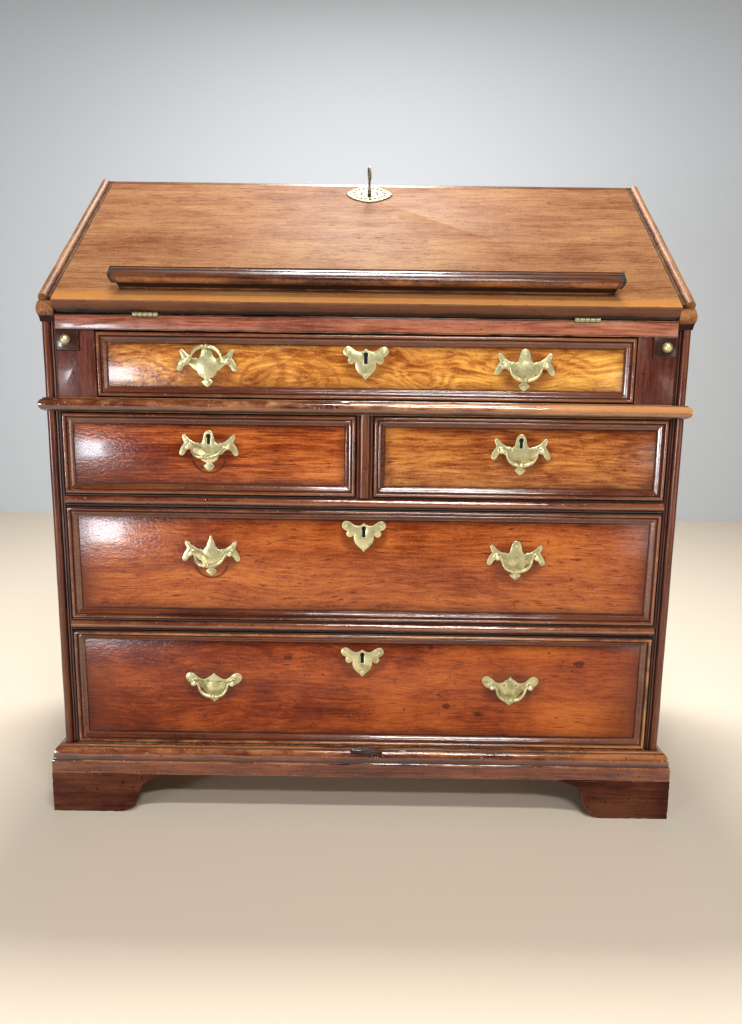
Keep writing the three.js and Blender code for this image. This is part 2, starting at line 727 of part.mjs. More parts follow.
function lidKey() {
  const bowCentre = lidThickness + keyLength - keyBowRadius;
  const at = (out) => [0, keyPlace, out];
  const shaft = rod(keyShaftRadius, at(lockWall + seatGap), at(bowCentre - keyBowRadius), smallSides);
  const bow = solid(
    new THREE.TorusGeometry(keyBowRadius, keyBowWire, wireSides, turnedSides)
      .rotateY(Math.PI / 2)
      .translate(0, keyPlace, bowCentre),
  );
  const bit = box(
    [-keyBowWire / 2, keyBowWire / 2],
    [keyPlace - keyBitReach, keyPlace],
    [boltSpan[0], boltSpan[0] + keyBitLength],
  );
  piece("lid_key", union(shaft, bow, bit), steel, lid);
}

// The oval plate round the lid's keyhole, with a scalloped edge that comes to a point at each end
function lidPlate() {
  const scallops = 16;
  const scallopShare = 0.03;
  const pointShare = 0.1;
  const outline = Array.from({ length: ovalSteps }, (_, i) => {
    const angle = (2 * Math.PI * i) / ovalSteps;
    const swell = 1 - scallopShare + scallopShare * Math.abs(Math.cos((angle * scallops) / 2));
    const point = 1 - pointShare * Math.abs(Math.sin(2 * angle));
    return [
      (lidPlateWidth / 2) * swell * point * Math.cos(angle),
      keyPlace + (lidPlateLength / 2) * swell * point * Math.sin(angle),
    ];
  });
  const hole = keyhole(keyholeRadius, keyholeDrop, 0, keyPlace);
  const span = [lidThickness + seatGap, lidThickness + seatGap + plateThickness];
  piece("lid_keyhole_plate", alongZ(outline, span, [hole]), brass, lid);
}

// The top board: its front edge faces the lid's top edge, then follows the slope for a short way.
function topBoard() {
  const face = lidThickness - stripSetback;
  const middle = [
    slopePoint(topEdge, slopeOutAt(topEdge, topUnderside)),
    [caseDepth, topUnderside],
    [caseDepth, deskTop],
    slopePoint(slopeEnd, face),
    slopePoint(topEdge, face),
  ];
  const endStart = slopeEnd + seatGap;
  const end = [
    slopePoint(endStart, slopeOutAt(endStart, topUnderside)),
    [caseDepth, topUnderside],
    [caseDepth, deskTop],
    slopePoint(endStart, slopeOutAt(endStart, deskTop)),
  ];
  const mortise = box(
    [-boltWidth / 2 - overrun, boltWidth / 2 + overrun],
    [topEdge - overrun, topEdge + boltThrow],
    [boltSpan[0] - overrun, boltSpan[1] + overrun],
  );
  lid.updateMatrix();
  const placed = mortise.transform(lid.matrix.elements);
  const body = union(alongX(middle, [-innerHalf, innerHalf]), alongX(end, [-half, half]));
  piece("top_board", body.subtract(placed), lidWood);
}

// Fitted interior: pigeonholes over two small drawers, with an open recess in the middle
const rackHalf = innerHalf - rackFit;
const rackFront = slopePoint(topEdge, 0)[0] + rackSetback;
const rackSpan = [rackFront, backFace - rackFit];
const rackTop = topUnderside - rackFit;
const shelfBottom = bedTop + rackWall + rackDrawerHeight;
const columnWidth = (rackHalf - rackCentreHalf - (rackColumns + 1) * rackWall) / rackColumns;

function rack() {
  const walls = [
    box([-rackHalf, rackHalf], rackSpan, [bedTop, bedTop + rackWall]),
    box([-rackHalf, rackHalf], rackSpan, [rackTop - rackWall, rackTop]),
    box([-rackHalf, rackHalf], [rackSpan[1] - rackWall, rackSpan[1]], [bedTop, rackTop]),
  ];
  for (const side of [-1, 1]) {
    const place = (from, to) => [side * from, side * to].sort((a, b) => a - b);
    walls.push(box(place(rackCentreHalf, rackHalf), rackSpan, [shelfBottom, shelfBottom + rackWall]));
    for (let i = 0; i <= rackColumns; i += 1) {
      const inner = rackCentreHalf + i * (columnWidth + rackWall);
      const foot = i === 0 || i === rackColumns ? bedTop : shelfBottom;
      walls.push(box(place(inner, inner + rackWall), rackSpan, [foot, rackTop]));
    }
  }
  piece("pigeonholes", union(...walls), liningWood);
}

function smallDrawer(name, sign) {
  const x = [rackCentreHalf + rackWall + smallDrawerGap, rackHalf - rackWall - smallDrawerGap];
  const z = [bedTop + rackWall + seatGap, shelfBottom - smallDrawerGap];
  const y = [rackFront + overrun, rackSpan[1] - rackWall - smallDrawerGap];
  const body = box(x, y, z);
  const inside = box(
    [x[0] + smallDrawerWall, x[1] - smallDrawerWall],
    [y[0] + smallDrawerFront, y[1] - smallDrawerWall],
    [z[0] + smallDrawerWall, z[1] + overrun],
  );
  const at = (depth) => [(x[0] + x[1]) / 2, depth, (z[0] + z[1]) / 2];
  const reach = y[0] - 2 * smallKnobRadius;
  const knob = ball(smallKnobRadius, at(reach), smallSides);
  const neck = rod(smallKnobRadius / 2, at(y[0] + overrun), at(reach), smallSides);
  const made = union(body.subtract(inside), knob, neck);
  piece(name, sign > 0 ? made : mirrored(made), drawerWood);
}

// Case
for (const [sign, side] of hingeSides) {
  sidePanel(`side_panel_${side}`, sign);
  foot(`front_foot_${side}`, sign, true);
  foot(`rear_foot_${side}`, sign, false);
  loperBlock(`loper_block_${side}`, sign);
  loper(`loper_${side}`, sign);
  hinge(sign, side);
  smallDrawer(`small_drawer_${side}`, sign);
}
const inside = [-innerHalf, innerHalf];
piece("back_boards", box(inside, [backFace, caseDepth], [footHeight, topUnderside]), liningWood);
piece("bottom_board", box(inside, [0, backFace], [baseTop - bottomThickness, baseTop]), caseWood);
const baseSection = baseShares.map(([a, b]) => [a * baseProjection, footHeight + b * baseMouldingHeight]);
piece("base_moulding", wrapMoulding(baseSection), caseWood);
piece("lower_rail", dustFrame(lowerTop, middleBottom, runnerWidth), caseWood);
dividedRail();
waistRail();
writingBed();
topBoard();
rack();

// Lid
lidPanel();
bookLedge();
lidLock();
lidKey();
lidPlate();

// Long drawers. The bails rest at these degrees up from hanging, left and right. The limit is past
// upright, leaning back over the plate.
const bailLimit = 192;
const longDrawers = [
  {
    name: "top_drawer",
    across: [-blockInner, blockInner],
    up: [waistTop, bedUnderside],
    look: goldenWood,
    plate: wingedShares,
    postRise: topPostRise,
    keyDrop: topKeyDrop,
    rests: [bailLimit, 0],
  },
  {
    name: "middle_drawer",
    across: inside,
    up: [middleBottom, middleTop],
    look: drawerWood,
    plate: wingedShares,
    postRise: middlePostRise,
    keyDrop: middleKeyDrop,
    rests: [45, 0],
  },
  {
    name: "lower_drawer",
    across: inside,
    up: [baseTop, lowerTop],
    look: drawerWood,
    plate: lobedShares,
    postRise: lowerPostRise,
    keyDrop: lowerKeyDrop,
    rests: [0, 0],
  },
];
for (const { name, across, up, look, plate, postRise, keyDrop, rests } of longDrawers) {
  drawer(name, across, up, look);
  escutcheon(`${name}_escutcheon`, up[1] - keyDrop);
  const postZ = (up[0] + up[1]) / 2 + postRise;
  hingeSides.forEach(([sign, side], i) => {
    handlePlate(`${name}_handle_${side}`, sign * handleOffset, postZ, plate, []);
    bail(`${name}_bail_${side}`, sign * handleOffset, postZ, rests[i]);
  });
}

// Short drawers, side by side
const shortRests = [50, 0];
hingeSides.forEach(([sign, side], i) => {
  const span = [sign * (dividerWidth / 2), sign * innerHalf].sort((a, b) => a - b);
  drawer(`short_drawer_${side}`, span, [shortBottom, shortTop], drawerWood);
  const postZ = (shortBottom + shortTop) / 2 + shortPostRise;
  const x = sign * handleOffset;
  const hole = keyhole(drawerKeyholeRadius, drawerKeyholeDrop, x, postZ + plateKeyRise);
  handlePlate(`short_drawer_${side}_handle`, x, postZ, wingedShares, [hole]);
  bail(`short_drawer_${side}_bail`, x, postZ, shortRests[i]);
});

// The origin is on the floor, under the middle of the whole desk.
desk.updateMatrixWorld(true);
const bounds = new THREE.Box3().setFromObject(desk, true);
desk.position.y = -(bounds.min.y + bounds.max.y) / 2;

export default desk;
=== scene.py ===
"""Slant-front desk: its mouldings, veneers, brass and fitted interior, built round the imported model."""

import math

import bmesh
import bpy
from mathutils import Matrix, Vector, noise


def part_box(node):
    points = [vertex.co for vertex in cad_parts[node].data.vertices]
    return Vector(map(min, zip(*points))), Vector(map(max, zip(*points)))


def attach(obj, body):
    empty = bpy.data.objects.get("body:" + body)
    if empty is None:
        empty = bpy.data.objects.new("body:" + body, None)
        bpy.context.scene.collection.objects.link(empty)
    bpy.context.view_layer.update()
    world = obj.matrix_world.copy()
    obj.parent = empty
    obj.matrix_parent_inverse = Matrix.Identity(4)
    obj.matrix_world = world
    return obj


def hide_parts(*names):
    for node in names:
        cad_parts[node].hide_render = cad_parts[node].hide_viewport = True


bl_info = {
    "name": "Slant-Front Desk",
    "version": (1, 0, 0),
    "blender": (4, 5, 0),
    "location": "3D View > Sidebar > Desk",
    "description": "Builds a slant-front desk round its packed model",
    "category": "Add Mesh",
}

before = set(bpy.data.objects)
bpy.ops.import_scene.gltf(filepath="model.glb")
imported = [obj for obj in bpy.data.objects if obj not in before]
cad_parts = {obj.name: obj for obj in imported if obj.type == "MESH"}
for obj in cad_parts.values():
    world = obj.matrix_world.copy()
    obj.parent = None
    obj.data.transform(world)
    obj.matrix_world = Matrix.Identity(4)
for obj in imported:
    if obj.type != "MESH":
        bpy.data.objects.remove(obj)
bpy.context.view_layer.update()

# Shapes are drawn in millimetres of the case: x right, y back from the crest of the front beads, z up.
MM = 0.001
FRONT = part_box("lower_rail")[0].y
CASE = Matrix.Translation((0, FRONT, 0)) @ Matrix.Scale(MM, 4)


def reach(node, axis):
    """How far a CAD node reaches along an axis, in millimetres of the case"""
    shift = FRONT if axis == 1 else 0
    return [(corner[axis] - shift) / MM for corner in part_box(node)]


INNER, HALF = reach("side_panel_right", 0)
CASE_BACK = reach("side_panel_right", 1)[1]
BACK_FACE = reach("back_boards", 1)[0]
TOP_UNDER = reach("top_board", 2)[0]
BED_UNDER, BED_TOP = reach("writing_bed", 2)
FOOT_TOP, BASE_TOP = reach("base_moulding", 2)
SLOPE = math.radians(38)
LID_THICK = 22
KEY_PLACE = 328  # the lid's keyhole, up the lid from its hinges
STRIP_BASE = 14  # the sloping strips' undersides over the slope
SLOPE_END = 369  # their upper ends, up the slope
LID = CASE @ Matrix.Translation((0, 0, BED_TOP)) @ Matrix.Rotation(SLOPE, 4, "X")
FIELD = 7  # the drawer fields behind the crest of the beads
FRONT_THICK, BOX_WALL, FRAME_WIDE = 17, 9, 15  # drawer fronts, drawer sides, and the frames on the fronts
RAIL_TALL = 17
FRAME_BAR = (10, 48)  # the frames' front bars, behind the drawer fields
BASE_OUT = 16  # the base moulding and the feet beyond the case
PLATE_THICK = 1.6
OVAL_HALF = (38.5, 29)  # half the width and height of the lid's plate
PIVOT = -2.5  # the line that the bails turn on
POSTS = 58
HANDLE_X, HINGE_X = 226, 309
SIDES = ((-1, "left"), (1, "right"))
RIGHT, BACK, UP, FORWARD = (1, 0, 0), (0, 1, 0), (0, 0, 1), (0, -1, 0)
SQUARE = [(0, 0, 0), (1, 0, 0), (1, 1, 0), (0, 1, 0)]
DRIFT_SEED = 1


def length(title, words, value):
    return bpy.props.FloatProperty(name=title, description=words, default=value, unit="LENGTH")


class DeskSizes(bpy.types.PropertyGroup):
    """Small sizes that belong to the looks"""

    ease: length("Eased edges", "Width of the worn edges of boards", 1.2 * MM)
    wear: length("Wear", "How far old mouldings wander from straight", 0.45 * MM)
    rim: length("Brass rim", "Width of the bevel round brass plates", 0.9 * MM)
    bail_swell: length("Bail swell", "Radius of a bail at its middle", 2.8 * MM)


def colour(title, words, value):
    return bpy.props.FloatVectorProperty(
        name=title, description=words, default=value, subtype="COLOR", size=3, min=0, max=1)


class DeskColours(bpy.types.PropertyGroup):
    """Main colours of the finishes"""

    lid: colour("Lid", "Middle tone of the lid", (0.33, 0.150, 0.066))
    golden: colour("Top drawer", "Middle tone of the figured veneer", (0.68, 0.275, 0.055))
    drawer: colour("Drawers", "Middle tone of the drawer veneers", (0.40, 0.095, 0.021))
    case: colour("Case", "Middle tone of rails, strips and mouldings", (0.17, 0.036, 0.013))
    # The worn colour also lightens crests to stand in for painted highlights on the waist, rails and base.
    worn: colour("Worn edges", "Where the polish has rubbed through", (0.52, 0.20, 0.055))
    lining: colour("Lining", "Middle tone of the unpolished oak", (0.36, 0.19, 0.088))
    brass: colour("Brass", "Old pale brass", (0.56, 0.52, 0.30))
    steel: colour("Steel", "Lock and key", (0.42, 0.40, 0.36))
    floor: colour("Floor", "Studio floor", (0.86, 0.76, 0.62))
    wall: colour("Wall", "Studio backdrop", (0.74, 0.79, 0.86))


# Shader maths

class Value:
    """A node's output, so that shader maths reads as plain sums"""

    def __init__(self, finish, socket):
        self.finish, self.socket = finish, socket

    def math(self, operation, *others):
        return self.finish.node("ShaderNodeMath", {"operation": operation}, dict(enumerate((self, *others))))

    def __add__(self, other):
        return self.math("ADD", other)

    def __sub__(self, other):
        return self.math("SUBTRACT", other)

    def __rsub__(self, other):
        return self * -1.0 + other

    def __mul__(self, other):
        return self.math("MULTIPLY", other)

    def __truediv__(self, other):
        return self.math("DIVIDE", other)

    __radd__ = __add__
    __rmul__ = __mul__

    def between(self, low, high):
        """0 below low, 1 above high and smooth in between. With low above high it falls."""
        if low > high:
            return 1 - self.between(high, low)
        values = {0: self, 1: low, 2: high, 3: 0, 4: 1}
        return self.finish.node("ShaderNodeMapRange", {"interpolation_type": "SMOOTHSTEP"}, values)

    def part(self, axis):
        return self.finish.node("ShaderNodeSeparateXYZ", {}, {0: self}, out=axis)


class Finish:
    """A material being built"""

    def __init__(self, name):
        self.material = bpy.data.materials.new(name)
        self.material.use_nodes = True
        self.tree = self.material.node_tree
        self.shader = self.tree.nodes["Principled BSDF"]

    def node(self, kind, settings=None, values=None, out=0):
        made = self.tree.nodes.new(kind)
        for key, value in (settings or {}).items():
            if key == "stops":
                ramp = made.color_ramp.elements
                while len(ramp) < len(value):
                    ramp.new(0.5)
                for stop, (position, shade) in zip(ramp, value):
                    stop.position, stop.color = position, (*shade, 1)
            else:
                setattr(made, key, value)
        for key, value in (values or {}).items():
            self.feed(made.inputs[key], value)
        return Value(self, made.outputs[out])

    def feed(self, socket, value):
        if isinstance(value, Value):
            self.tree.links.new(value.socket, socket)
        else:
            socket.default_value = (*value, 1) if socket.type == "RGBA" and len(value) == 3 else value

    def place(self):
        return self.node("ShaderNodeTexCoord", out="Object")

    def tone(self):
        """What the mesh marks: 1 on crests, -1 in hollows and undersides, which the woods and brass paint
        dark with dirt and painted shade
        """
        return self.node("ShaderNodeAttribute", {"attribute_name": "tone"}, out="Fac")

    def turned(self, vector, turn, shift=(0, 0, 0)):
        return self.node("ShaderNodeMapping", {}, {"Vector": vector, "Rotation": turn, "Location": shift})

    def ramp(self, factor, stops):
        return self.node("ShaderNodeValToRGB", {"stops": stops}, {"Fac": factor})

    def mix(self, factor, first, second):
        settings = {"data_type": "RGBA", "clamp_factor": True}
        return self.node("ShaderNodeMix", settings, {0: factor, 6: first, 7: second}, out=2)

    def noise(self, vector, scale, detail=2.0, rough=0.5, out=0):
        values = {"Vector": vector, "Scale": scale, "Detail": detail, "Roughness": rough}
        return self.node("ShaderNodeTexNoise", {}, values, out=out)

    def stretched(self, vector, factors):
        return self.node("ShaderNodeVectorMath", {"operation": "MULTIPLY"}, {0: vector, 1: factors})

    def bump(self, height, depth, strength):
        return self.node("ShaderNodeBump", {}, {"Strength": strength, "Distance": depth, "Height": height})

    def surface(self, **values):
        names = {
            "color": "Base Color", "rough": "Roughness", "metal": "Metallic", "normal": "Normal",
            "coat": "Coat Weight", "coat_rough": "Coat Roughness", "specular": "Specular IOR Level",
        }
        for key, value in values.items():
            self.feed(self.shader.inputs[names[key]], value)
        return self.material


def shade(base, factor):
    return tuple(min(1.0, part * factor) for part in base)


# How the grain turns: along the case, from front to back, upright, or along the lid
TURNS = {"x": (0, 0, 0), "y": (0, 0, -math.pi / 2), "z": (0, math.pi / 2, 0), "lid": (-SLOPE, 0, 0)}


def wood(name, base, run="x", place=(0, 0, 0), streaks=0.8, swirl=0.012, swirl_size=4.0, bands=0.03,
         flecks=0.5, patches=0.5, pits=0.3, gloss=0.3, coat=0.3, shine=0.32, lean=0.0, peel=0.3, field=None,
         ends=0, rubs=(), plates=(), knots=(), scuffs=(), arcs=(), shaded_joints=(), pale=None, rub_lean=0.1,
         worn=None):
    """Polished wood, rubbed on the crests that the mesh marks, partly a painted highlight there, and dark in
    its hollows with dirt and painted shade
    """
    made = Finish(name)
    at = made.place()
    x_at, y_at, z_at = (at.part(axis) for axis in range(3))
    spot = made.turned(at, TURNS[run], place)
    bend = made.noise(made.stretched(spot, (1, 2.2, 2.2)), swirl_size, 2.5, 0.5, out="Color")
    bend = made.node("ShaderNodeVectorMath", {"operation": "SUBTRACT"}, {0: bend, 1: (0.5, 0.5, 0.5)})
    bend = made.stretched(bend, (swirl, swirl, swirl))
    flow = made.node("ShaderNodeVectorMath", {"operation": "ADD"}, {0: spot, 1: bend})
    figure = made.noise(made.stretched(flow, (2.6, 46, 46)), 1, 6, 0.66)
    streak = made.noise(made.stretched(flow, (16, 330, 330)), 1, 3, 0.7)
    fleck = made.noise(made.stretched(flow, (55, 520, 520)), 1, 2, 0.55)
    contour = (made.noise(made.stretched(flow, (1, 3.4, 3.4)), 5.2, 2.0, 0.45) * 80).math("SINE")
    ripple = made.noise(made.stretched(spot, (150, 260, 260)), 1, 2, 0.6)
    patch = made.noise(made.stretched(spot, (1, 1.8, 1.8)), 5.5, 4, 0.6)
    smudge = made.noise(made.stretched(spot, (22, 45, 45)), 1, 5, 0.7)
    speck = made.noise(at, 330, 2, 0.6)
    cloudy, ragged = patch - 0.5, smudge - 0.5
    tone = made.tone()

    def tinted(*factors):
        return tuple(min(1.0, part * factor) for part, factor in zip(base, factors))

    def away(x, z, across=1.0, up=1.0):
        """How far a spot lies from a point of the front"""
        dx, dz = (x_at - x * MM) * across, (z_at - z * MM) * up
        return (dx * dx + dz * dz).math("SQRT")

    amount = (figure - 0.5) * (1.3 * streaks) + (streak - 0.5) * (1.7 * streaks) + cloudy * (1.3 * patches)
    amount = amount + contour * bands + x_at * lean + (speck - 0.5) * 0.35 + 0.52
    look = made.ramp(amount, [
        (0.08, tinted(0.30, 0.14, 0.12)), (0.34, tinted(0.64, 0.50, 0.42)), (0.54, base),
        (0.78, tinted(1.34, 1.62, 1.5)), (0.98, tinted(1.6, 2.3, 2.4)),
    ])
    pores = fleck.between(0.58, 0.66) * smudge.between(0.38, 0.6) * flecks
    look = made.mix(pores, look, tinted(0.22, 0.08, 0.08))

    # Old polish and dirt with painted shade from the frames, darker towards a field's edges; darker also at
    # its left and right ends
    if field:
        (x, z), (wide, tall) = field
        across = (x_at - x * MM).math("ABSOLUTE")
        along = (z_at - z * MM).math("ABSOLUTE") + (wide - tall) * MM
        border, soft = across.math("MAXIMUM", along), 17
        line = (border + ragged * 0.004).between((wide - 3.5) * MM, (wide - 0.5) * MM)
        near = (border + ragged * 0.018).between((wide - soft) * MM, wide * MM)
        look = made.mix(near * 0.5 + line * 0.42, look, tinted(0.10, 0.05, 0.06))
        if ends:
            dark = (across + cloudy * 0.12).between((wide - ends) * MM, wide * MM)
            look = made.mix(dark * 0.62, look, tinted(0.30, 0.16, 0.16))
    # Rings worn by swinging bails, and dirt round the plates
    for x, z, radius in rubs:
        out = away(x, z) + ragged * 0.0015
        inner = out.between((radius - 2.6) * MM, (radius - 0.6) * MM)
        ring = inner * out.between((radius + 2.6) * MM, (radius + 0.6) * MM)
        below = (z_at - z * MM).between(-0.002, -0.009)
        look = made.mix(ring * below * 0.85, look, tinted(0.22, 0.08, 0.06))
    for x, z, wide, tall in plates:
        dirt = (away(x, z, 1 / (wide * MM), 1 / (tall * MM)) + ragged * 0.9).between(1.1, 0.75)
        look = made.mix(dirt * 0.55, look, tinted(0.20, 0.10, 0.10))
    # Knots, and figure that curves round a point
    for x, z, radius in knots:
        knot = (away(x, z, 0.6) + ragged * (radius * 4.5 * MM)).between(radius * MM, radius * 0.35 * MM)
        look = made.mix(knot * 0.8, look, tinted(0.16, 0.05, 0.05))
    for x, z, radius in arcs:
        out = away(x, z, 0.55) + ragged * 0.006 + cloudy * 0.02
        rings = (out * 620).math("SINE").between(0.1, 1.0) * out.between(radius * MM, radius * 0.6 * MM)
        look = made.mix(rings * streak.between(0.3, 0.6) * 0.6, look, tinted(0.45, 0.25, 0.2))
    # Dark joints widened with painted shade, the lid's painted sunlit strip, and fine scratches
    for z, wide in shaded_joints:
        gap = ((z_at - z * MM).math("ABSOLUTE") + ragged * 0.001).between(wide * MM, wide * 0.5 * MM)
        outside = y_at.between(FRONT + 0.012, FRONT + 0.006)
        look = made.mix(gap * outside * 0.95, look, (0.006, 0.003, 0.002))
    if pale:
        start, end, golden = pale
        strip = (spot.part(1) + cloudy * 0.012).between(end, start)
        look = made.mix(strip * 0.75, look, golden)
    for x, z, radius, angle in scuffs:
        within = (away(x, z) + ragged * 0.05).between(radius * MM, radius * 0.3 * MM)
        skew = made.turned(at, (0, angle, 0))
        hair = made.noise(made.stretched(skew, (16, 1, 640)), 1, 3, 0.6).between(0.58, 0.68)
        look = made.mix(hair * within * 0.3, look, tinted(1.2, 2.2, 6))
    # Rubbed crests take the worn colour: real wear, which on the waist, rails and base also stands in for
    # painted highlights; rub_lean shifts it along x.
    rubbed = tone.between(0.35, 1.0) * (smudge * 0.8 + patch * 0.5 + x_at * rub_lean).between(0.52, 0.78)
    look = made.mix(rubbed * 0.9, look, worn or tinted(2.2, 3.2, 2.6))
    # Hollows and undersides that the mesh marks go near-black: dirt with painted shade.
    dirt_and_shade = (tone * -1.0 + ragged * 0.6).between(0.0, 0.8)
    look = made.mix(dirt_and_shade * 0.96, look, (0.007, 0.003, 0.002))
    # Light chips on the crests: chipped polish, and also painted glints on the mouldings.
    chips = speck.between(0.665, 0.715) * tone.between(0.0, 0.9) * pits
    look = made.mix(chips, look, (0.60, 0.38, 0.23))
    marks = made.noise(at, 130, 3, 0.6).between(0.65, 0.72) * pits * 0.85
    look = made.mix(marks, look, tinted(0.12, 0.06, 0.06))

    wave = made.noise(at, 17, 2, 0.5)
    height = wave * 0.8 + ripple * peel + (1 - pores) * 0.035 + streak * 0.03 - marks * 0.2 - chips * 0.15
    rough = streak * 0.10 + smudge * 0.14 + dirt_and_shade * 0.35 + pores * 0.12 + (gloss - 0.10)
    normal = made.bump(height, 0.0022, 0.45)
    return made.surface(
        color=look, rough=rough, normal=normal, coat=coat, coat_rough=0.10, specular=shine)


def oak(name, base, run):
    """Unpolished oak, for linings"""
    return wood(name, base, run, streaks=0.8, flecks=0.45, patches=0.35, pits=0.15, gloss=0.62, coat=0.0,
                swirl=0.006, worn=shade(base, 1.5))


def brass(name, base, rough):
    """Old brass, dark in its hollows with tarnish and painted shade, and rubbed bright on its edges"""
    made = Finish(name)
    at = made.place()
    cloud = made.noise(at, 75, 4, 0.65)
    fine = made.noise(at, 800, 3, 0.6)
    scratch = made.noise(made.stretched(at, (420, 500, 2600)), 1, 2, 0.5)
    tone = made.tone()
    tarnish = cloud.between(0.44, 0.66) * 0.7 + fine.between(0.52, 0.72) * 0.3
    look = made.mix(tarnish, base, (base[0] * 0.40, base[1] * 0.40, base[2] * 0.30))
    look = made.mix(tone.between(0.2, 1.0) * 0.85, look, shade(base, 1.55))
    # Hollows, and the plates' back edge against the wood, go near-black: tarnish with painted shade.
    look = made.mix((tone * -1.0).between(0.1, 1.0) * 0.9, look, shade(base, 0.06))
    normal = made.bump(fine * 0.5 + scratch * 0.4 + cloud * 1.6, 0.0006, 0.55)
    return made.surface(color=look, metal=0.78, rough=tarnish * 0.3 + scratch * 0.1 + rough, normal=normal)


def pierced_brass(name, base):
    """The lid's oval plate, with a ring of cuts worked round it"""
    made = Finish(name)
    at = made.place()
    flat = made.turned(at, TURNS["lid"])
    centre = Matrix.Rotation(-SLOPE, 4, "X") @ (LID @ Vector((0, KEY_PLACE, LID_THICK)))
    x, y = flat.part(0) / (OVAL_HALF[0] * MM), (flat.part(1) - centre.y) / (OVAL_HALF[1] * MM)
    away = (x * x + y * y).math("SQRT")
    angle = y.math("ARCTAN2", x)
    teeth = (angle * 20).math("SINE")
    ring = away.between(0.56, 0.60) * away.between(0.76, 0.72) * teeth.between(-0.35, 0.05)
    ring = ring + away.between(0.30, 0.33) * away.between(0.40, 0.37) * 0.7
    cloud = made.noise(at, 90, 4, 0.6)
    look = made.mix(cloud.between(0.45, 0.7) * 0.5, base, shade(base, 0.42))
    look = made.mix(ring, look, (0.02, 0.012, 0.005))
    normal = made.bump(1 - ring, 0.0008, 0.8)
    rough = cloud * 0.2 + ring * 0.3 + 0.42
    return made.surface(color=look, metal=0.75 - ring * 0.7, rough=rough, normal=normal)


def lid_edge(name, base, worn):
    """The lid's lower edge: a darker walnut than the lid, painted shade as it faces down; worn along its top,
    black below with handling dirt and painted shade
    """
    made = Finish(name)
    at = made.place()
    flat = made.turned(at, TURNS["lid"])
    under = (Matrix.Rotation(-SLOPE, 4, "X") @ LID.translation).z
    figure = made.noise(made.stretched(flat, (8, 60, 160)), 1, 5, 0.65)
    patch = made.noise(made.stretched(at, (1, 2, 3)), 14, 4, 0.65)
    speck = made.noise(at, 240, 3, 0.65)
    up = flat.part(2) - under + (patch - 0.5) * 0.010
    stops = [(0.25, shade(base, 0.3)), (0.5, base), (0.75, shade(base, 1.7))]
    look = made.ramp(figure * 0.6 + patch * 0.5, stops)
    # The lower part goes near-black: handling dirt with painted shade under the lid.
    look = made.mix(up.between(0.0085, 0.004) * 0.96, look, (0.008, 0.004, 0.003))
    look = made.mix(up.between(0.018, 0.0205) * patch.between(0.3, 0.5) * 0.9, look, worn)
    look = made.mix(speck.between(0.62, 0.72) * 0.7, look, shade(base, 0.15))
    normal = made.bump(patch + speck * 0.15, 0.0016, 0.5)
    return made.surface(
        color=look, rough=patch * 0.3 + 0.2, normal=normal, coat=0.25, coat_rough=0.12, specular=0.32)


def plain(name, base, rough, metal=0.0):
    """A quiet finish with a little unevenness"""
    made = Finish(name)
    at = made.place()
    cloud = made.noise(at, 40, 4, 0.6)
    look = made.mix(cloud.between(0.35, 0.7), base, shade(base, 0.6))
    normal = made.bump(cloud, 0.0004, 0.4)
    return made.surface(color=look, metal=metal, rough=cloud * 0.2 + rough, normal=normal)


# Shapes

def tone_of(bm):
    return bm.verts.layers.float.get("tone") or bm.verts.layers.float.new("tone")


def face_tone_of(bm):
    return bm.faces.layers.float.get("tone") or bm.faces.layers.float.new("tone")


def only(kind, geometry):
    return [part for part in geometry if isinstance(part, kind)]


def around(count):
    return [math.tau * i / count for i in range(count)]


def station(origin, across, up):
    """Where a section's across and up point, as a matrix"""
    across, up = Vector(across), Vector(up)
    made = Matrix.Identity(4)
    for column, vector in enumerate((across, up, across.cross(up))):
        for row in range(3):
            made[row][column] = vector[row]
    made.translation = Vector(origin)
    return made


def swept(bm, section, stations, closed=False, tones=None):
    """Extrudes a section of (across, up, tone) points through stations, and joins up or caps its ends"""
    layer = tone_of(bm)
    ring = []
    for across, up, tone in section:
        vert = bm.verts.new(stations[0] @ Vector((across, up, 0)))
        vert[layer] = tone if tones is None else tones[0]
        ring.append(vert)
    edges = [bm.edges.new(pair) for pair in zip(ring, ring[1:] + ring[:1])]
    first = list(edges)
    for count, (here, there) in enumerate(zip(stations, stations[1:]), 1):
        made = bmesh.ops.extrude_edge_only(bm, edges=edges)["geom"]
        moved = only(bmesh.types.BMVert, made)
        bmesh.ops.transform(bm, matrix=there @ here.inverted(), verts=moved)
        if tones:
            for vert in moved:
                vert[layer] = tones[count]
        edges = [edge for edge in only(bmesh.types.BMEdge, made) if edge.is_boundary]
    if closed:
        bmesh.ops.bridge_loops(bm, edges=edges + first)
    else:
        bmesh.ops.holes_fill(bm, edges=edges, sides=0)
        bmesh.ops.holes_fill(bm, edges=first, sides=0)


def mixed(start, end, part):
    """A station part of the way from one to another, entry by entry, so that mitres stay straight"""
    across = start.col[0].xyz.lerp(end.col[0].xyz, part)
    up = start.col[1].xyz.lerp(end.col[1].xyz, part)
    return station(start.translation.lerp(end.translation, part), across, up)


def run_of(stations, pitch):
    """Fills in stations between corners, about a pitch apart"""
    filled = [stations[0]]
    for here, there in zip(stations, stations[1:]):
        steps = max(1, round((there.translation - here.translation).length / pitch))
        filled += [mixed(here, there, i / steps) for i in range(1, steps + 1)]
    return filled


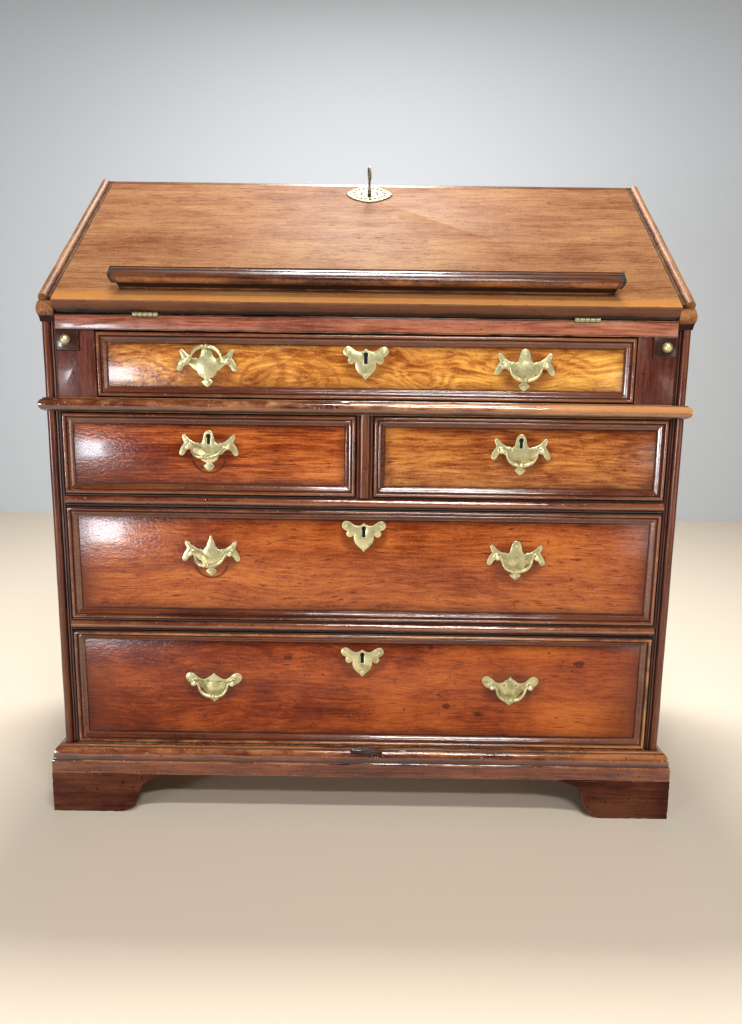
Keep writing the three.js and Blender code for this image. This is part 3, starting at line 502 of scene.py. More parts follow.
def arc(centre, radii, start, end, steps, tones):
    """Points round part of an ellipse, with a tone that runs through three values"""
    points = []
    for i in range(steps + 1):
        part = i / steps
        angle = math.radians(start + (end - start) * part)
        low, middle, high = tones
        tone = low + (middle - low) * 2 * part if part < 0.5 else middle + (high - middle) * (2 * part - 1)
        points.append((centre[0] + radii[0] * math.cos(angle), centre[1] + radii[1] * math.sin(angle), tone))
    return points


def weathered(bm, depth, grain=45, dents=1.0):
    """Lets an old piece wander a little, and dents its crests"""
    layer = tone_of(bm)
    noise.seed_set(DRIFT_SEED)  # noise_vector would otherwise follow the clock
    bm.normal_update()
    for vert in bm.verts:
        drift = noise.noise_vector(vert.co / grain) * depth
        dent = max(0.0, noise.noise(vert.co / 7) - 0.33) * max(0.0, vert[layer]) * dents
        vert.co += drift - vert.normal * dent


def eased_edges(bm, geom, width, segments=2):
    """Bevels edges and marks the new faces as rubbed"""
    layer = face_tone_of(bm)
    made = bmesh.ops.bevel(
        bm, geom=geom, offset=width, offset_type="OFFSET", affect="EDGES", segments=segments, profile=0.5,
        material=-1, clamp_overlap=True)
    for face in made["faces"]:
        face[layer] = 1.0


def board(bm, x, y, z, ease=1.0):
    """A straight board with eased edges"""
    face_tone_of(bm)
    verts = bmesh.ops.create_cube(bm, size=1)["verts"]
    spans = [sorted(span) for span in (x, y, z)]
    bmesh.ops.scale(bm, vec=[high - low for low, high in spans], verts=verts)
    bmesh.ops.translate(bm, vec=[(low + high) / 2 for low, high in spans], verts=verts)
    eased_edges(bm, list({edge for vert in verts for edge in vert.link_edges}), ease)


def slab(bm, outline, placed, thickness, ease=1.0):
    """A board cut to an outline of (across, up) points, with eased edges"""
    face_tone_of(bm)
    face = bm.faces.new([bm.verts.new(placed @ Vector((a, b, 0))) for a, b in outline])
    made = bmesh.ops.extrude_face_region(bm, geom=[face])["geom"]
    moved = only(bmesh.types.BMVert, made)
    through = placed.col[2].xyz.normalized() * thickness
    bmesh.ops.translate(bm, vec=through, verts=moved)
    bmesh.ops.recalc_face_normals(bm, faces=bm.faces)
    edges = {edge for vert in list(face.verts) + moved for edge in vert.link_edges}
    eased_edges(bm, [edge for edge in edges if edge.calc_face_angle(0) > 0.6], ease)


def eased_copy(node, width, segments=2, least=0.5):
    """A copy of a CAD node in millimetres of the case, with its corners eased"""
    bm = bmesh.new()
    bm.from_mesh(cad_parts[node].data)
    bm.transform(CASE.inverted())
    bmesh.ops.remove_doubles(bm, verts=bm.verts, dist=0.005)
    bmesh.ops.dissolve_limit(bm, angle_limit=0.01, verts=bm.verts, edges=bm.edges)
    sharp = [edge for edge in bm.edges if len(edge.link_faces) == 2 and edge.calc_face_angle(0) > least]
    eased_edges(bm, sharp, width, segments)
    return bm


def turned(bm, profile, centre, axis, steps=20):
    """A turned piece: (distance along the axis, radius, tone) points spun round it"""
    layer = tone_of(bm)
    axis = Vector(axis).normalized()
    side = axis.orthogonal().normalized()
    verts = []
    for along, radius, tone in profile:
        vert = bm.verts.new(Vector(centre) + axis * along + side * radius)
        vert[layer] = tone
        verts.append(vert)
    edges = [bm.edges.new(pair) for pair in zip(verts, verts[1:])]
    bmesh.ops.spin(
        bm, geom=verts + edges, cent=centre, axis=axis, dvec=(0, 0, 0), angle=math.tau, steps=steps,
        use_merge=True, use_normal_flip=False, use_duplicate=False)


def plate(bm, loops, placed, thickness, rim):
    """A flat plate from closed outlines, the outer one first, with its front edge eased by an inset"""
    layer = tone_of(bm)
    edges = []
    for loop in loops:
        verts = [bm.verts.new(placed @ Vector((a, b, 0))) for a, b in loop]
        edges += [bm.edges.new(pair) for pair in zip(verts, verts[1:] + verts[:1])]
        # The back ring is marked -1, so it paints near-black: painted shade where the plate meets the wood.
        for vert in verts:
            vert[layer] = -1
    made = bmesh.ops.triangle_fill(bm, use_beauty=True, use_dissolve=False, edges=edges)["geom"]
    faces = only(bmesh.types.BMFace, made)
    made = bmesh.ops.extrude_face_region(bm, geom=faces)["geom"]
    front = only(bmesh.types.BMFace, made)
    moved = only(bmesh.types.BMVert, made)
    out = placed.col[2].xyz.normalized()
    bmesh.ops.translate(bm, vec=out * (thickness - rim * 0.55), verts=moved)
    walls = {face for vert in moved for face in vert.link_faces}
    bmesh.ops.recalc_face_normals(bm, faces=list(walls) + faces)
    for vert in moved:
        vert[layer] = 0.9
    bmesh.ops.inset_region(
        bm, faces=front, thickness=rim, depth=0, use_boundary=True, use_even_offset=True)
    inner = {vert for face in front for vert in face.verts}
    bmesh.ops.translate(bm, vec=out * rim * 0.55, verts=list(inner))
    for vert in inner:
        vert[layer] = 0.0


def finished(bm, name, body, finish, stands_for=(), place=CASE, sharp=32):
    """Closes a shape, puts it where it belongs and makes it a piece"""
    bmesh.ops.remove_doubles(bm, verts=bm.verts, dist=0.002)
    bmesh.ops.recalc_face_normals(bm, faces=bm.faces)
    bm.transform(place)
    mesh = bpy.data.meshes.new(name)
    bm.to_mesh(mesh)
    bm.free()
    mesh.shade_smooth()
    mesh.set_sharp_from_angle(angle=math.radians(sharp))
    mesh.materials.append(finish)
    piece = bpy.data.objects.new(name, mesh)
    bpy.context.scene.collection.objects.link(piece)
    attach(piece, body)
    if stands_for:
        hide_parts(*stands_for)
    return piece


def on_slope(along, out):
    """A place on the lid's slope, as y and z of the case"""
    return (along * math.cos(SLOPE) - out * math.sin(SLOPE),
            BED_TOP + along * math.sin(SLOPE) + out * math.cos(SLOPE))


def rounded(corners, x, z, steps=3):
    """An outline from its right half, curved through its points and sharp where they are marked"""
    left = [(-a, b, *mark) for a, b, *mark in reversed(corners[1:-1])]
    points = [(x + a, z + b, bool(mark)) for a, b, *mark in corners + left]
    outline = []
    for i, (here, there) in enumerate(zip(points, points[1:] + points[:1])):
        before = here if here[2] else points[i - 1]
        after = there if there[2] else points[(i + 2) % len(points)]
        for step in range(steps):
            t = step / steps
            outline.append(tuple(
                0.5 * (2 * b + (c - a) * t + (2 * a - 5 * b + 4 * c - d) * t ** 2
                       + (3 * b - a - 3 * c + d) * t ** 3)
                for a, b, c, d in zip(before[:2], here[:2], there[:2], after[:2])))
    return outline


def keyhole(radius, drop, x, z, slot=0, steps=14):
    """A round eye with a slot below it"""
    slot = slot or radius / 2
    turn = math.asin(slot / radius)
    eye = []
    for i in range(steps + 1):
        angle = -math.pi / 2 + turn + (math.tau - 2 * turn) * i / steps
        eye.append((x + radius * math.cos(angle), z + radius * math.sin(angle)))
    return eye + [(x - slot, z - drop), (x + slot, z - drop)]


# Sections of the mouldings: (across, up, tone). A tone of -1 paints hollows, fillets and undersides
# near-black, dirt with painted shade; a tone near 1 marks a rubbed crest.

STRIP = (
    [(0, -2, -0.2), (0, 0, -0.5)]
    + arc((6.1, 0.6), (6.1, 6.4), 180, 0, 12, (-0.5, 0.75, -0.8))
    + [(12.6, 0.9, -1), (13.2, 2.3, -0.8), (13.7, 3.0, -0.2), (15.4, 3.1, -0.2), (15.9, 2.4, -0.8),
       (16.3, 1.6, -1), (16.8, 2.3, -0.8), (17.2, 2.9, -0.4), (19.4, 2.9, -0.5), (20, 2.0, -1), (20, -2, -1)]
)
SLOPE_STRIP = (
    [(0, -2, -0.1), (0, 2, -0.1)]
    + arc((6.8, 4.2), (6.8, 6.8), 180, 0, 12, (0.1, 0.8, -0.7))
    + [(13.8, 4.1, -1), (14.3, 5.3, -0.6), (15.0, 5.8, 0.1), (15.8, 5.0, -1), (16.4, 5.7, -0.1),
       (17.6, 6.0, 0.1), (18.2, 5.0, -1), (18.8, 5.6, -0.3), (19.5, 5.4, -0.6), (20, 4.4, -1), (20, -2, -1)]
)
# The frame's outer edge is marked -1: a dark joint round each drawer, widened with painted shade.
FRAME = (
    [(0.0, -1, -1), (0, 2.6, -1), (0.9, 3.6, -0.9), (1.1, 5.0, -0.4)]
    + arc((3.4, 5.3), (2.4, 2.6), 165, 10, 8, (0.6, 1.0, 0.5))
    + [(6.0, 4.6, -0.6), (6.5, 3.9, -0.6), (7.1, 4.5, -0.4), (8.0, 4.8, -0.1), (9.2, 4.5, 0.2),
       (10.3, 3.8, 0.1), (11.3, 2.9, -0.15), (12.2, 2.2, -0.2), (12.9, 1.8, -0.2), (13.3, 1.5, -0.2),
       (13.7, 1.5, 0.1), (14.5, 1.2, 0.3), (15.0, 0.4, -0.6), (15.0, -1, -1.0)]
)
# The book ledge: half its length, where it starts up the lid, and its section
LEDGE = dict(half=345, start=28, depth=12, overhang=11, height=28)
# Its levels, up from the lid: (how far its front comes out, height, tone), as shares
# Its cove, its foot and the groove at its back are marked dark: dirt with painted shade.
LEDGE_LEVELS = [
    (0.0, 0, -0.9), (0.01, 0.02, -0.6), (0.08, 0.03, 0.5), (0.13, 0.07, 1.0), (0.13, 0.12, 0.9),
    (0.07, 0.155, 0.2), (0.02, 0.17, -1.0), (0.03, 0.24, -0.95), (0.09, 0.32, -0.6), (0.20, 0.40, -0.6),
    (0.36, 0.465, -0.7), (0.47, 0.49, -1.0), (0.52, 0.50, -0.9), (0.70, 0.51, -0.2), (0.86, 0.56, 0.3),
    (0.95, 0.63, 0.7), (1.0, 0.72, 0.9), (0.99, 0.81, 1.0), (0.93, 0.88, 0.8), (0.80, 0.94, 0.3),
    (0.60, 0.975, 0.1), (0.35, 0.99, -0.2), (0.0, 1.0, -0.4), (-0.28, 0.995, -0.4), (-0.34, 0.97, -1.0),
    (-0.40, 0.97, -1.0), (-0.44, 1.01, 0.2), (-0.85, 1.015, 0.4), (-0.95, 0.99, 0.2),
]
# Levels of the caps under the sloping strips: (out, height over the bed, tone)
CAP_LEVELS = [
    (0.0, -11.5, -0.6), (0.3, -9.5, -1.0), (0.8, -6.5, -1.0), (1.7, -3.5, -0.6), (2.9, -1, 0.1),
    (3.7, 1.5, 0.8), (4.0, 4.5, 1.0), (3.9, 7.5, 1.0), (3.4, 10.5, 0.9), (2.5, 13.5, 0.8), (1.4, 16.0, 0.7),
    (0.3, 17.8, 0.4),
]
# The curve of a bracket foot, as shares of its length and height
BRACKET = [
    (0.57, 0), (0.60, 0.01), (0.63, 0.045), (0.66, 0.10), (0.69, 0.17), (0.715, 0.27), (0.733, 0.40),
    (0.745, 0.53), (0.757, 0.64), (0.775, 0.73), (0.80, 0.80), (0.835, 0.865), (0.88, 0.915),
    (0.94, 0.96), (1, 0.985),
]

# Turned pieces: (along the axis, radius, tone)
SMALL_KNOB = [
    (0, 0, 0), (0, 4.6, 0.4), (-0.9, 4.6, 0.8), (-1.3, 2.6, -0.8), (-4, 2.2, -0.3), (-6.5, 3.4, 0.2),
    (-9.5, 5.6, 0.7), (-12.5, 5.9, 0.6), (-15.5, 4.6, 0.8), (-17.2, 2.2, 0.9), (-17.6, 0, 0.8),
]
KEY_SHAFT = [
    (1.9, 0, 0), (1.9, 2.6, 0), (20.5, 2.6, -0.6), (26, 2.6, 0), (26.4, 3.4, 0.8), (27.6, 3.6, 1),
    (28.6, 3.4, 0.8), (29, 2.5, -0.5), (30.2, 2.4, 0), (31, 3.2, 0.9), (32.2, 3.2, 0.9), (33, 2.4, -0.4),
    (39.5, 1.9, 0), (44, 1.8, 0.2), (47.6, 2.2, 0.5), (48.4, 0, 0.5),
]
POST = [
    (1.2, 0, 0), (1.2, 5.2, -0.8), (2.2, 5.0, 0.5), (2.8, 4.0, 0.1), (3.2, 3.0, -1.0), (4.6, 2.7, -0.6),
    (5.6, 3.0, 0.0), (6.3, 3.7, 0.3), (7.6, 4.3, 0.6), (9.2, 4.5, 0.8), (11, 4.3, 0.8), (12.4, 3.6, 0.9),
    (13.4, 2.4, 0.9), (13.9, 0, 0.9),
]

# Right halves of the brass plates, from the top down. A third value marks a sharp corner.
WINGED = [
    (0, 23.4), (3.2, 22.4), (5.8, 19.4), (7.2, 15.2), (8.0, 11), (9.2, 7.2), (11.4, 4.4), (14.0, 3.2, 1),
    (15.4, 5.2), (19.0, 5.0), (24.0, 7.4), (29.0, 11.2), (33.0, 15.4), (35.8, 17.2), (38.0, 16.0),
    (38.2, 12.8), (36.6, 8.6), (35.2, 5.2, 1), (38.0, 1.8), (41.0, -3.6), (42.8, -8.8), (41.8, -12.6),
    (38.4, -13.6), (35.4, -10.8), (32.8, -6.8), (29.4, -4.6), (25.6, -4.8), (22.6, -6.8), (20.0, -9.4),
    (17.6, -11.6, 1), (15.0, -12.4), (13.4, -15.2), (12.2, -18.0), (10.8, -19.8), (9.2, -20.6, 1),
    (7.4, -22.2), (4.8, -23.0), (3.4, -24.4, 1), (6.0, -26.2), (8.0, -28.6, 1), (5.2, -32.0),
    (2.6, -34.2), (0, -36, 1),
]
STEEPLE = [(0, 26.6, 1), (1.6, 24.2), (2.2, 21.4, 1), (3.6, 18.4), (5.2, 13.8), (6.8, 9.2), (9.2, 6.4)]
STEEPLE += WINGED[6:]
LOBED = [
    (0, 13.6, 1), (1.8, 10.8), (4.4, 8.8), (7.4, 7.2, 1), (9.6, 5.2), (13, 3.6), (17.4, 3.2), (22, 4.6),
    (26, 7.8), (30.4, 11.8), (35.4, 13.6), (40, 12.2), (42.6, 8.0), (42.0, 3.2), (38.6, -1.2), (34, -4.6),
    (29, -6.4), (25.4, -6.2), (22.4, -7.6, 1), (18.6, -9.8), (16.2, -12.6), (13.2, -16.2), (10.2, -19.4),
    (8.0, -21.0, 1), (6.4, -23.2), (7.2, -25.8, 1), (5.2, -28.8), (2.6, -30.8), (0, -33, 1),
]
BAT = [
    (0, 14.1, 1), (2.4, 12.2), (5.4, 10.6), (9.0, 9.7), (12.6, 10.2), (16.8, 12.6), (21.4, 15.8),
    (26.0, 17.2), (30.2, 15.2), (32.2, 10.6), (30.8, 6.2), (27.4, 3.6), (23.8, 2.2, 1), (25.4, -1.2),
    (24.8, -4.8), (21.6, -7.2), (17.8, -6.4), (13.8, -3.4, 1), (14.6, -7.6), (14.2, -12.0), (12.2, -16.6),
    (8.6, -20.6), (4.4, -24.2), (0, -29, 1),
]

# Every drawer: the height of its handles, its keyhole, its plates' outline and its bails at rest
DRAWERS = {
    "top_drawer": dict(handles=684.6, key=691, outline=WINGED, rests={"left": 192, "right": 0}),
    "short_drawer_left": dict(handles=564, key=None, outline=WINGED, rests={"": 50}),
    "short_drawer_right": dict(handles=564, key=None, outline=WINGED, rests={"": 0}),
    "middle_drawer": dict(handles=407, key=440, outline=WINGED, rests={"left": 45, "right": 0}),
    "lower_drawer": dict(handles=205.5, key=245, outline=LOBED, rests={"left": 0, "right": 0}),
}


def bail_body(drawer, side):
    """The body of a bail, such as top_bail_left or short_bail_left"""
    return drawer.replace("_drawer", "_bail") + (f"_{side}" if side else "")


ON_FRONT = station((0, FIELD, 0), RIGHT, UP)
finishes = {}


def sizes():
    return bpy.context.scene.desk_sizes


def tints():
    return bpy.context.scene.desk_colours


class FinishesOperator(bpy.types.Operator):
    """Make the woods, brass and steel"""

    bl_idname = "desk.finishes"
    bl_label = "Finishes"

    def execute(self, context):
        tint = tints()
        lid, golden, drawer, case = tuple(tint.lid), tuple(tint.golden), tuple(tint.drawer), tuple(tint.case)
        worn, lining = tuple(tint.worn), tuple(tint.lining)
        lid_low = (Matrix.Rotation(-SLOPE, 4, "X") @ LID.translation).y
        woods = {
            # The lid's pale strip near its lower edge is painted sunlight.
            "lid": (lid, "lid", (0.3, 0, 0), dict(
                streaks=0.42, swirl=0.02, bands=0.02, flecks=0.7, patches=0.55, pits=0.5, gloss=0.5, coat=0.0,
                shine=0.07, pale=(lid_low + 0.006, lid_low + 0.034, (0.60, 0.25, 0.065)))),
            "top": (shade(lid, 0.62), "x", (0, 0.2, 0.4), dict(
                streaks=0.5, flecks=0.6, patches=0.9, pits=0.6, gloss=0.36, coat=0.1, shine=0.3,
                worn=shade(worn, 0.8))),
            "ledge": ((0.10, 0.026, 0.009), "x", (0.7, 0, 0), dict(
                patches=1.2, pits=0.5, gloss=0.2, coat=0.4, peel=0.12, worn=(0.40, 0.14, 0.04))),
            "rail": (case, "x", (0.2, 0.1, 0), dict(
                patches=0.8, pits=0.9, gloss=0.10, coat=1.0, shine=1.0, peel=0.2, worn=(0.36, 0.12, 0.04))),
            "upright": (shade(case, 0.75), "z", (0, 0.3, 0), dict(
                patches=0.7, pits=0.7, coat=0.3, shine=0.4, peel=0.2, worn=shade(worn, 0.42))),
            "slope": ((0.24, 0.095, 0.035), "y", (0, 0.6, 0), dict(
                patches=0.7, pits=0.6, gloss=0.45, coat=0.0, shine=0.25, worn=(0.50, 0.22, 0.08))),
            "stile": ((0.12, 0.028, 0.017), "z", (0.4, 0, 0), dict(
                patches=1.2, pits=1.0, gloss=0.36, coat=0.2, peel=0.5)),
            "frieze": ((0.36, 0.11, 0.06), "x", (0, 0, 0.7), dict(
                patches=0.8, pits=0.6, gloss=0.36, coat=0.25, shine=0.4,
                # Near-black lines under the lid and under the bed's edge: joints with painted shade
                shaded_joints=((BED_TOP, 2.6), (BED_UNDER, 2.6)))),
            # The waist: lean and rub_lean make it darker to the left and lighter to the right, partly painted
            # light, and its light worn colour partly stands in for a painted highlight.
            "waist": ((0.22, 0.062, 0.020), "x", (0.9, 0, 0), dict(
                patches=1.4, pits=1.0, gloss=0.10, coat=1.0, shine=0.9, peel=0.12, lean=0.6, rub_lean=0.3,
                worn=(0.82, 0.38, 0.15))),
            "base": (shade(case, 1.05), "x", (0.5, 0, 0.3), dict(
                patches=1.5, pits=1.6, flecks=1.0, gloss=0.12, coat=0.9, shine=0.8, peel=0.2,
                worn=shade(worn, 1.25))),
            "foot": ((0.085, 0.018, 0.007), "x", (0, 0, 0.5), dict(
                patches=2.4, pits=2.0, gloss=0.5, coat=0.0, shine=0.2, worn=shade(worn, 0.5))),
            "side": (shade(case, 1.2), "z", (0.8, 0.2, 0), dict(
                patches=1.2, flecks=0.7, pits=0.6, gloss=0.4, coat=0.1, worn=worn)),
            "loper": (shade(case, 0.22), "y", (0, 0.5, 0), dict(pits=0.4, gloss=0.38, worn=shade(case, 0.9))),
            "small_drawer": (shade(drawer, 1.1), "x", (0, 0.9, 0), dict(worn=worn)),
        }
        for name, (base, run, place, looks) in woods.items():
            finishes[name] = wood(name + "_walnut", base, run, place, **looks)
        # The lid's down-facing edge gets a darker walnut: painted shade.
        finishes["lid_edge"] = lid_edge("lid_edge_walnut", (0.115, 0.034, 0.011), shade(worn, 0.5))
        finishes["oak"] = oak("lining_oak", lining, "y")
        finishes["oak_up"] = oak("upright_oak", shade(lining, 0.85), "z")
        finishes["rack"] = oak("rack_oak", shade(lining, 0.9), "x")
        # The bails' brass is a lighter copy of the plates' brass: rubbed, and painted brighter to stand in
        # for their highlights.
        for name, title, factor, rough in (
            ("brass", "old_brass", 1.35, 0.26), ("bail", "rubbed_lit_brass", 1.5, 0.22),
            ("knob", "pale_brass", 1.25, 0.26), ("hinge", "dull_brass", 0.6, 0.38),
        ):
            finishes[name] = brass(title, shade(tint.brass, factor), rough)
        finishes["oval"] = pierced_brass("worked_brass", shade(tint.brass, 0.6))
        finishes["steel"] = plain("old_steel", tuple(tint.steel), 0.25, 1.0)
        # Near-black iron for the lock faces, painted shade inside the keyholes.
        finishes["dark"] = plain("shaded_lock_iron", (0.003, 0.002, 0.002), 0.8)

        fields = {
            "top_drawer": (golden, dict(
                streaks=0.7, swirl=0.10, swirl_size=4.2, bands=0.10, flecks=0.45, patches=0.35, lean=0.3,
                scuffs=((-340, 675, 75, 0.9), (-120, 690, 60, 0.6)), arcs=((-120, 655, 60), (250, 720, 45)))),
            "short_drawer_left": (shade(drawer, 1.15), dict(streaks=0.9, flecks=1.0, patches=1.0, lean=0.9)),
            "short_drawer_right": ((0.50, 0.17, 0.04), dict(
                streaks=0.75, bands=0.06, flecks=1.0, patches=0.9, swirl=0.03, lean=-0.4)),
            "middle_drawer": (shade(drawer, 1.08), dict(
                streaks=0.55, flecks=1.0, patches=1.0, swirl=0.05, pits=0.6, lean=0.15, ends=45)),
            "lower_drawer": ((0.355, 0.066, 0.011), dict(
                streaks=0.55, flecks=0.9, patches=1.5, swirl=0.06, pits=1.0, lean=0.35, ends=70,
                knots=((-112, 245, 7), (104, 264, 5), (178, 158, 7), (130, 170, 4), (-20, 150, 4),
                       (330, 240, 4)))),
        }
        for count, (name, (base, looks)) in enumerate(fields.items()):
            self.drawer_front(name, base, looks, count)
            finishes[name + "_frame"] = wood(
                name + "_frame_walnut", (0.15, 0.035, 0.012), "x", (0.2, 0.4 * count, 0), streaks=0.6,
                patches=0.8, pits=0.7, gloss=0.14, coat=0.7, shine=0.7, peel=0.2,
                worn=worn if name == "lower_drawer" else (0.27, 0.085, 0.026))
        return {"FINISHED"}

    def drawer_front(self, name, base, looks, count):
        """A drawer's veneer, with the marks that its handles and its keyhole plate leave on it"""
        low, high = reach(name + "_front", 0)
        bottom, top = reach(name + "_front", 2)
        middle = ((low + high) / 2, (bottom + top) / 2)
        half = ((high - low) / 2 - FRAME_WIDE, (top - bottom) / 2 - FRAME_WIDE)
        about = DRAWERS[name]
        rubs, plates = [], []
        for side in about["rests"]:
            x = HANDLE_X * (-1 if "left" in name + side else 1)
            plates.append((x, about["handles"] - 6, 48, 28))
            if name == "short_drawer_left" or (name == "middle_drawer" and side == "left"):
                rubs.append((x, about["handles"] - 14, 24.5))
        if about["key"]:
            plates.append((0, about["key"] - 6, 38, 28))
        finishes[name] = wood(
            name + "_veneer", base, "x", (0.37 * count, 0.61 * count, 0.23 * count), gloss=0.2, coat=0.25,
            shine=0.25, peel=0.42, field=(middle, half), rubs=rubs, plates=plates, **{"pits": 0.3, **looks})


class SidesOperator(bpy.types.Operator):
    """Side boards, with the beaded strips on their front and sloping edges"""

    bl_idname = "desk.sides"
    bl_label = "Sides"

    def execute(self, context):
        wear = sizes().wear / MM
        for sign, side in SIDES:
            slope_top = on_slope(SLOPE_END, STRIP_BASE)
            outline = [
                (FIELD, FOOT_TOP), (CASE_BACK, FOOT_TOP), (CASE_BACK, TOP_UNDER),
                (slope_top[0] + (slope_top[1] - TOP_UNDER) * math.tan(SLOPE), TOP_UNDER), slope_top,
                (FIELD, BED_TOP + FIELD * math.tan(SLOPE) + STRIP_BASE / math.cos(SLOPE)),
            ]
            bm = bmesh.new()
            slab(bm, outline, station((sign * INNER, 0, 0), BACK, UP), sign * (HALF - INNER), 0.6)
            finished(bm, "side_board_" + side, "case", finishes["side"], ["side_panel_" + side])

            bm = bmesh.new()
            foot = station((sign * HALF, FIELD, BASE_TOP), (-sign, 0, 0), FORWARD)
            head = station((sign * HALF, FIELD, BED_TOP - 9), (-sign, 0, 0), FORWARD)
            swept(bm, STRIP, run_of([foot, head], 11))
            weathered(bm, wear, 60)
            finished(bm, "front_strip_" + side, "case", finishes["upright"])

            bm = bmesh.new()
            up = (0, -math.sin(SLOPE), math.cos(SLOPE))
            low = station((sign * HALF, *on_slope(10, STRIP_BASE)), (-sign, 0, 0), up)
            high = station((sign * HALF, *slope_top), (-sign, 0, 0), up)
            swept(bm, SLOPE_STRIP, run_of([low, high], 11))
            weathered(bm, wear, 60)
            finished(bm, "slope_strip_" + side, "case", finishes["slope"])

            stations = []
            for out, z, _ in CAP_LEVELS:
                place, front = (sign * (HALF + out), -out * 0.8, BED_TOP + z), (0, 22 + out * 0.8, 0)
                stations.append(station(place, (-sign * (20 + out), 0, 0), front))
            bm = bmesh.new()
            swept(bm, SQUARE, stations, tones=[tone for _, _, tone in CAP_LEVELS])
            finished(bm, "strip_cap_" + side, "case", finishes["slope"], sharp=40)
        return {"FINISHED"}


class CaseBoardsOperator(bpy.types.Operator):
    """Top board, writing bed, back boards, bottom, and the stile blocks with the lopers' guides"""

    bl_idname = "desk.case_boards"
    bl_label = "Case boards"

    def execute(self, context):
        ease = sizes().ease / MM
        for node, finish, slot in (
            ("top_board", "top", "lid_wood"),
            ("writing_bed", "frieze", "case_wood"),
            ("bottom_board", "oak", "case_wood"),
            ("loper_block_left", "stile", "case_wood"),
            ("loper_block_right", "stile", "case_wood"),
        ):
            finished(eased_copy(node, ease * 0.6), node + "_wood", "case", finishes[finish], [node])

        bm = bmesh.new()
        boards, gap = 5, 0.3
        wide = 2 * INNER / boards
        for i in range(boards):
            low = -INNER + i * wide
            board(bm, (low + gap, low + wide - gap), (BACK_FACE, CASE_BACK), (FOOT_TOP, TOP_UNDER), 2.6)
        finished(bm, "back_board_row", "case", finishes["oak_up"], ["back_boards"])
        return {"FINISHED"}


class RailsOperator(bpy.types.Operator):
    """Frames between the drawers, each with its beaded front rail"""

    bl_idname = "desk.rails"
    bl_label = "Rails"

    def bead(self, bm, bottom, top):
        middle, radius = (bottom + top) / 2, (top - bottom) / 2 - 2.0
        # The fillets and the bead's underside are marked -1: dark joints above and below the bead, with
        # painted shade.
        section = (
            [(-12, bottom, -0.6), (1.2, bottom, -0.8), (1.5, bottom + 1.5, -1), (0.6, bottom + 1.9, -1)]
            + arc((0.4, middle), (6.6, radius), -90, 90, 14, (-1.0, 0.8, 0.6))
            + [(0.6, top - 1.9, -1), (1.5, top - 1.5, -1), (1.2, top, -0.8), (-12, top, -0.6)]
        )
        ends = [station((x, FIELD, 0), FORWARD, UP) for x in (-INNER, INNER)]
        swept(bm, section, run_of(ends, 11))
        weathered(bm, sizes().wear / MM, 60, 1.6)

    def frame(self, bm, bottom, top, runner, extra=()):
        """A drawer's frame: front and back bars, with runners at the sides and where extra asks"""
        front, back, rear = FIELD + FRAME_BAR[0], FIELD + FRAME_BAR[1], BACK_FACE - 30
        board(bm, (-INNER, INNER), (front, back), (bottom, top), 0.5)
        board(bm, (-INNER, INNER), (rear, BACK_FACE), (bottom, top), 0.5)
        for span in ((-INNER, -INNER + runner), (INNER - runner, INNER), *extra):
            board(bm, span, (back, rear), (bottom, top), 0.5)

    def execute(self, context):
        for node, extra in (("lower_rail", ()), ("divided_rail", ((-41.5, 41.5),))):
            bottom, divided = reach(node, 2)
            top = bottom + RAIL_TALL
            bm = bmesh.new()
            self.bead(bm, bottom, top)
            finished(bm, node + "_bead", "case", finishes["rail"], [node])
            bm = bmesh.new()
            self.frame(bm, bottom, top, 30, extra)
            if extra:
                board(bm, (-8, 8), (FIELD + FRAME_BAR[1], BACK_FACE), (top, divided), 0.5)
            finished(bm, node + "_frame", "case", finishes["oak"])

        bottom, top = reach("waist_rail", 2)
        bm = bmesh.new()
        self.frame(bm, bottom, top, 84)
        board(bm, (-INNER, INNER), (0, FIELD + 12), (bottom, top), 0.4)
        finished(bm, "waist_frame", "case", finishes["oak"])

        low, high = reach("divided_rail", 2)
        half = 11.5
        section = (
            [(-half, -20, 0), (-half, 0, 0.2), (-half + 0.8, 0.8, 0.6), (-8.6, 0.9, 0.2), (-8.0, -0.2, -1)]
            + arc((0, 0), (7.3, 4), 180, 0, 12, (-0.7, 0.9, -0.7))
            + [(8.0, -0.2, -1), (8.6, 0.9, 0.2), (half - 0.8, 0.8, 0.6), (half, 0, 0.2), (half, -20, 0)]
        )
        ends = [station((0, 4, z), RIGHT, FORWARD) for z in (low + RAIL_TALL, high)]
        bm = bmesh.new()
        swept(bm, section, run_of(ends, 8))
        weathered(bm, sizes().wear / MM, 40, 1.6)
        finished(bm, "divider_bead", "case", finishes["upright"])
        return {"FINISHED"}


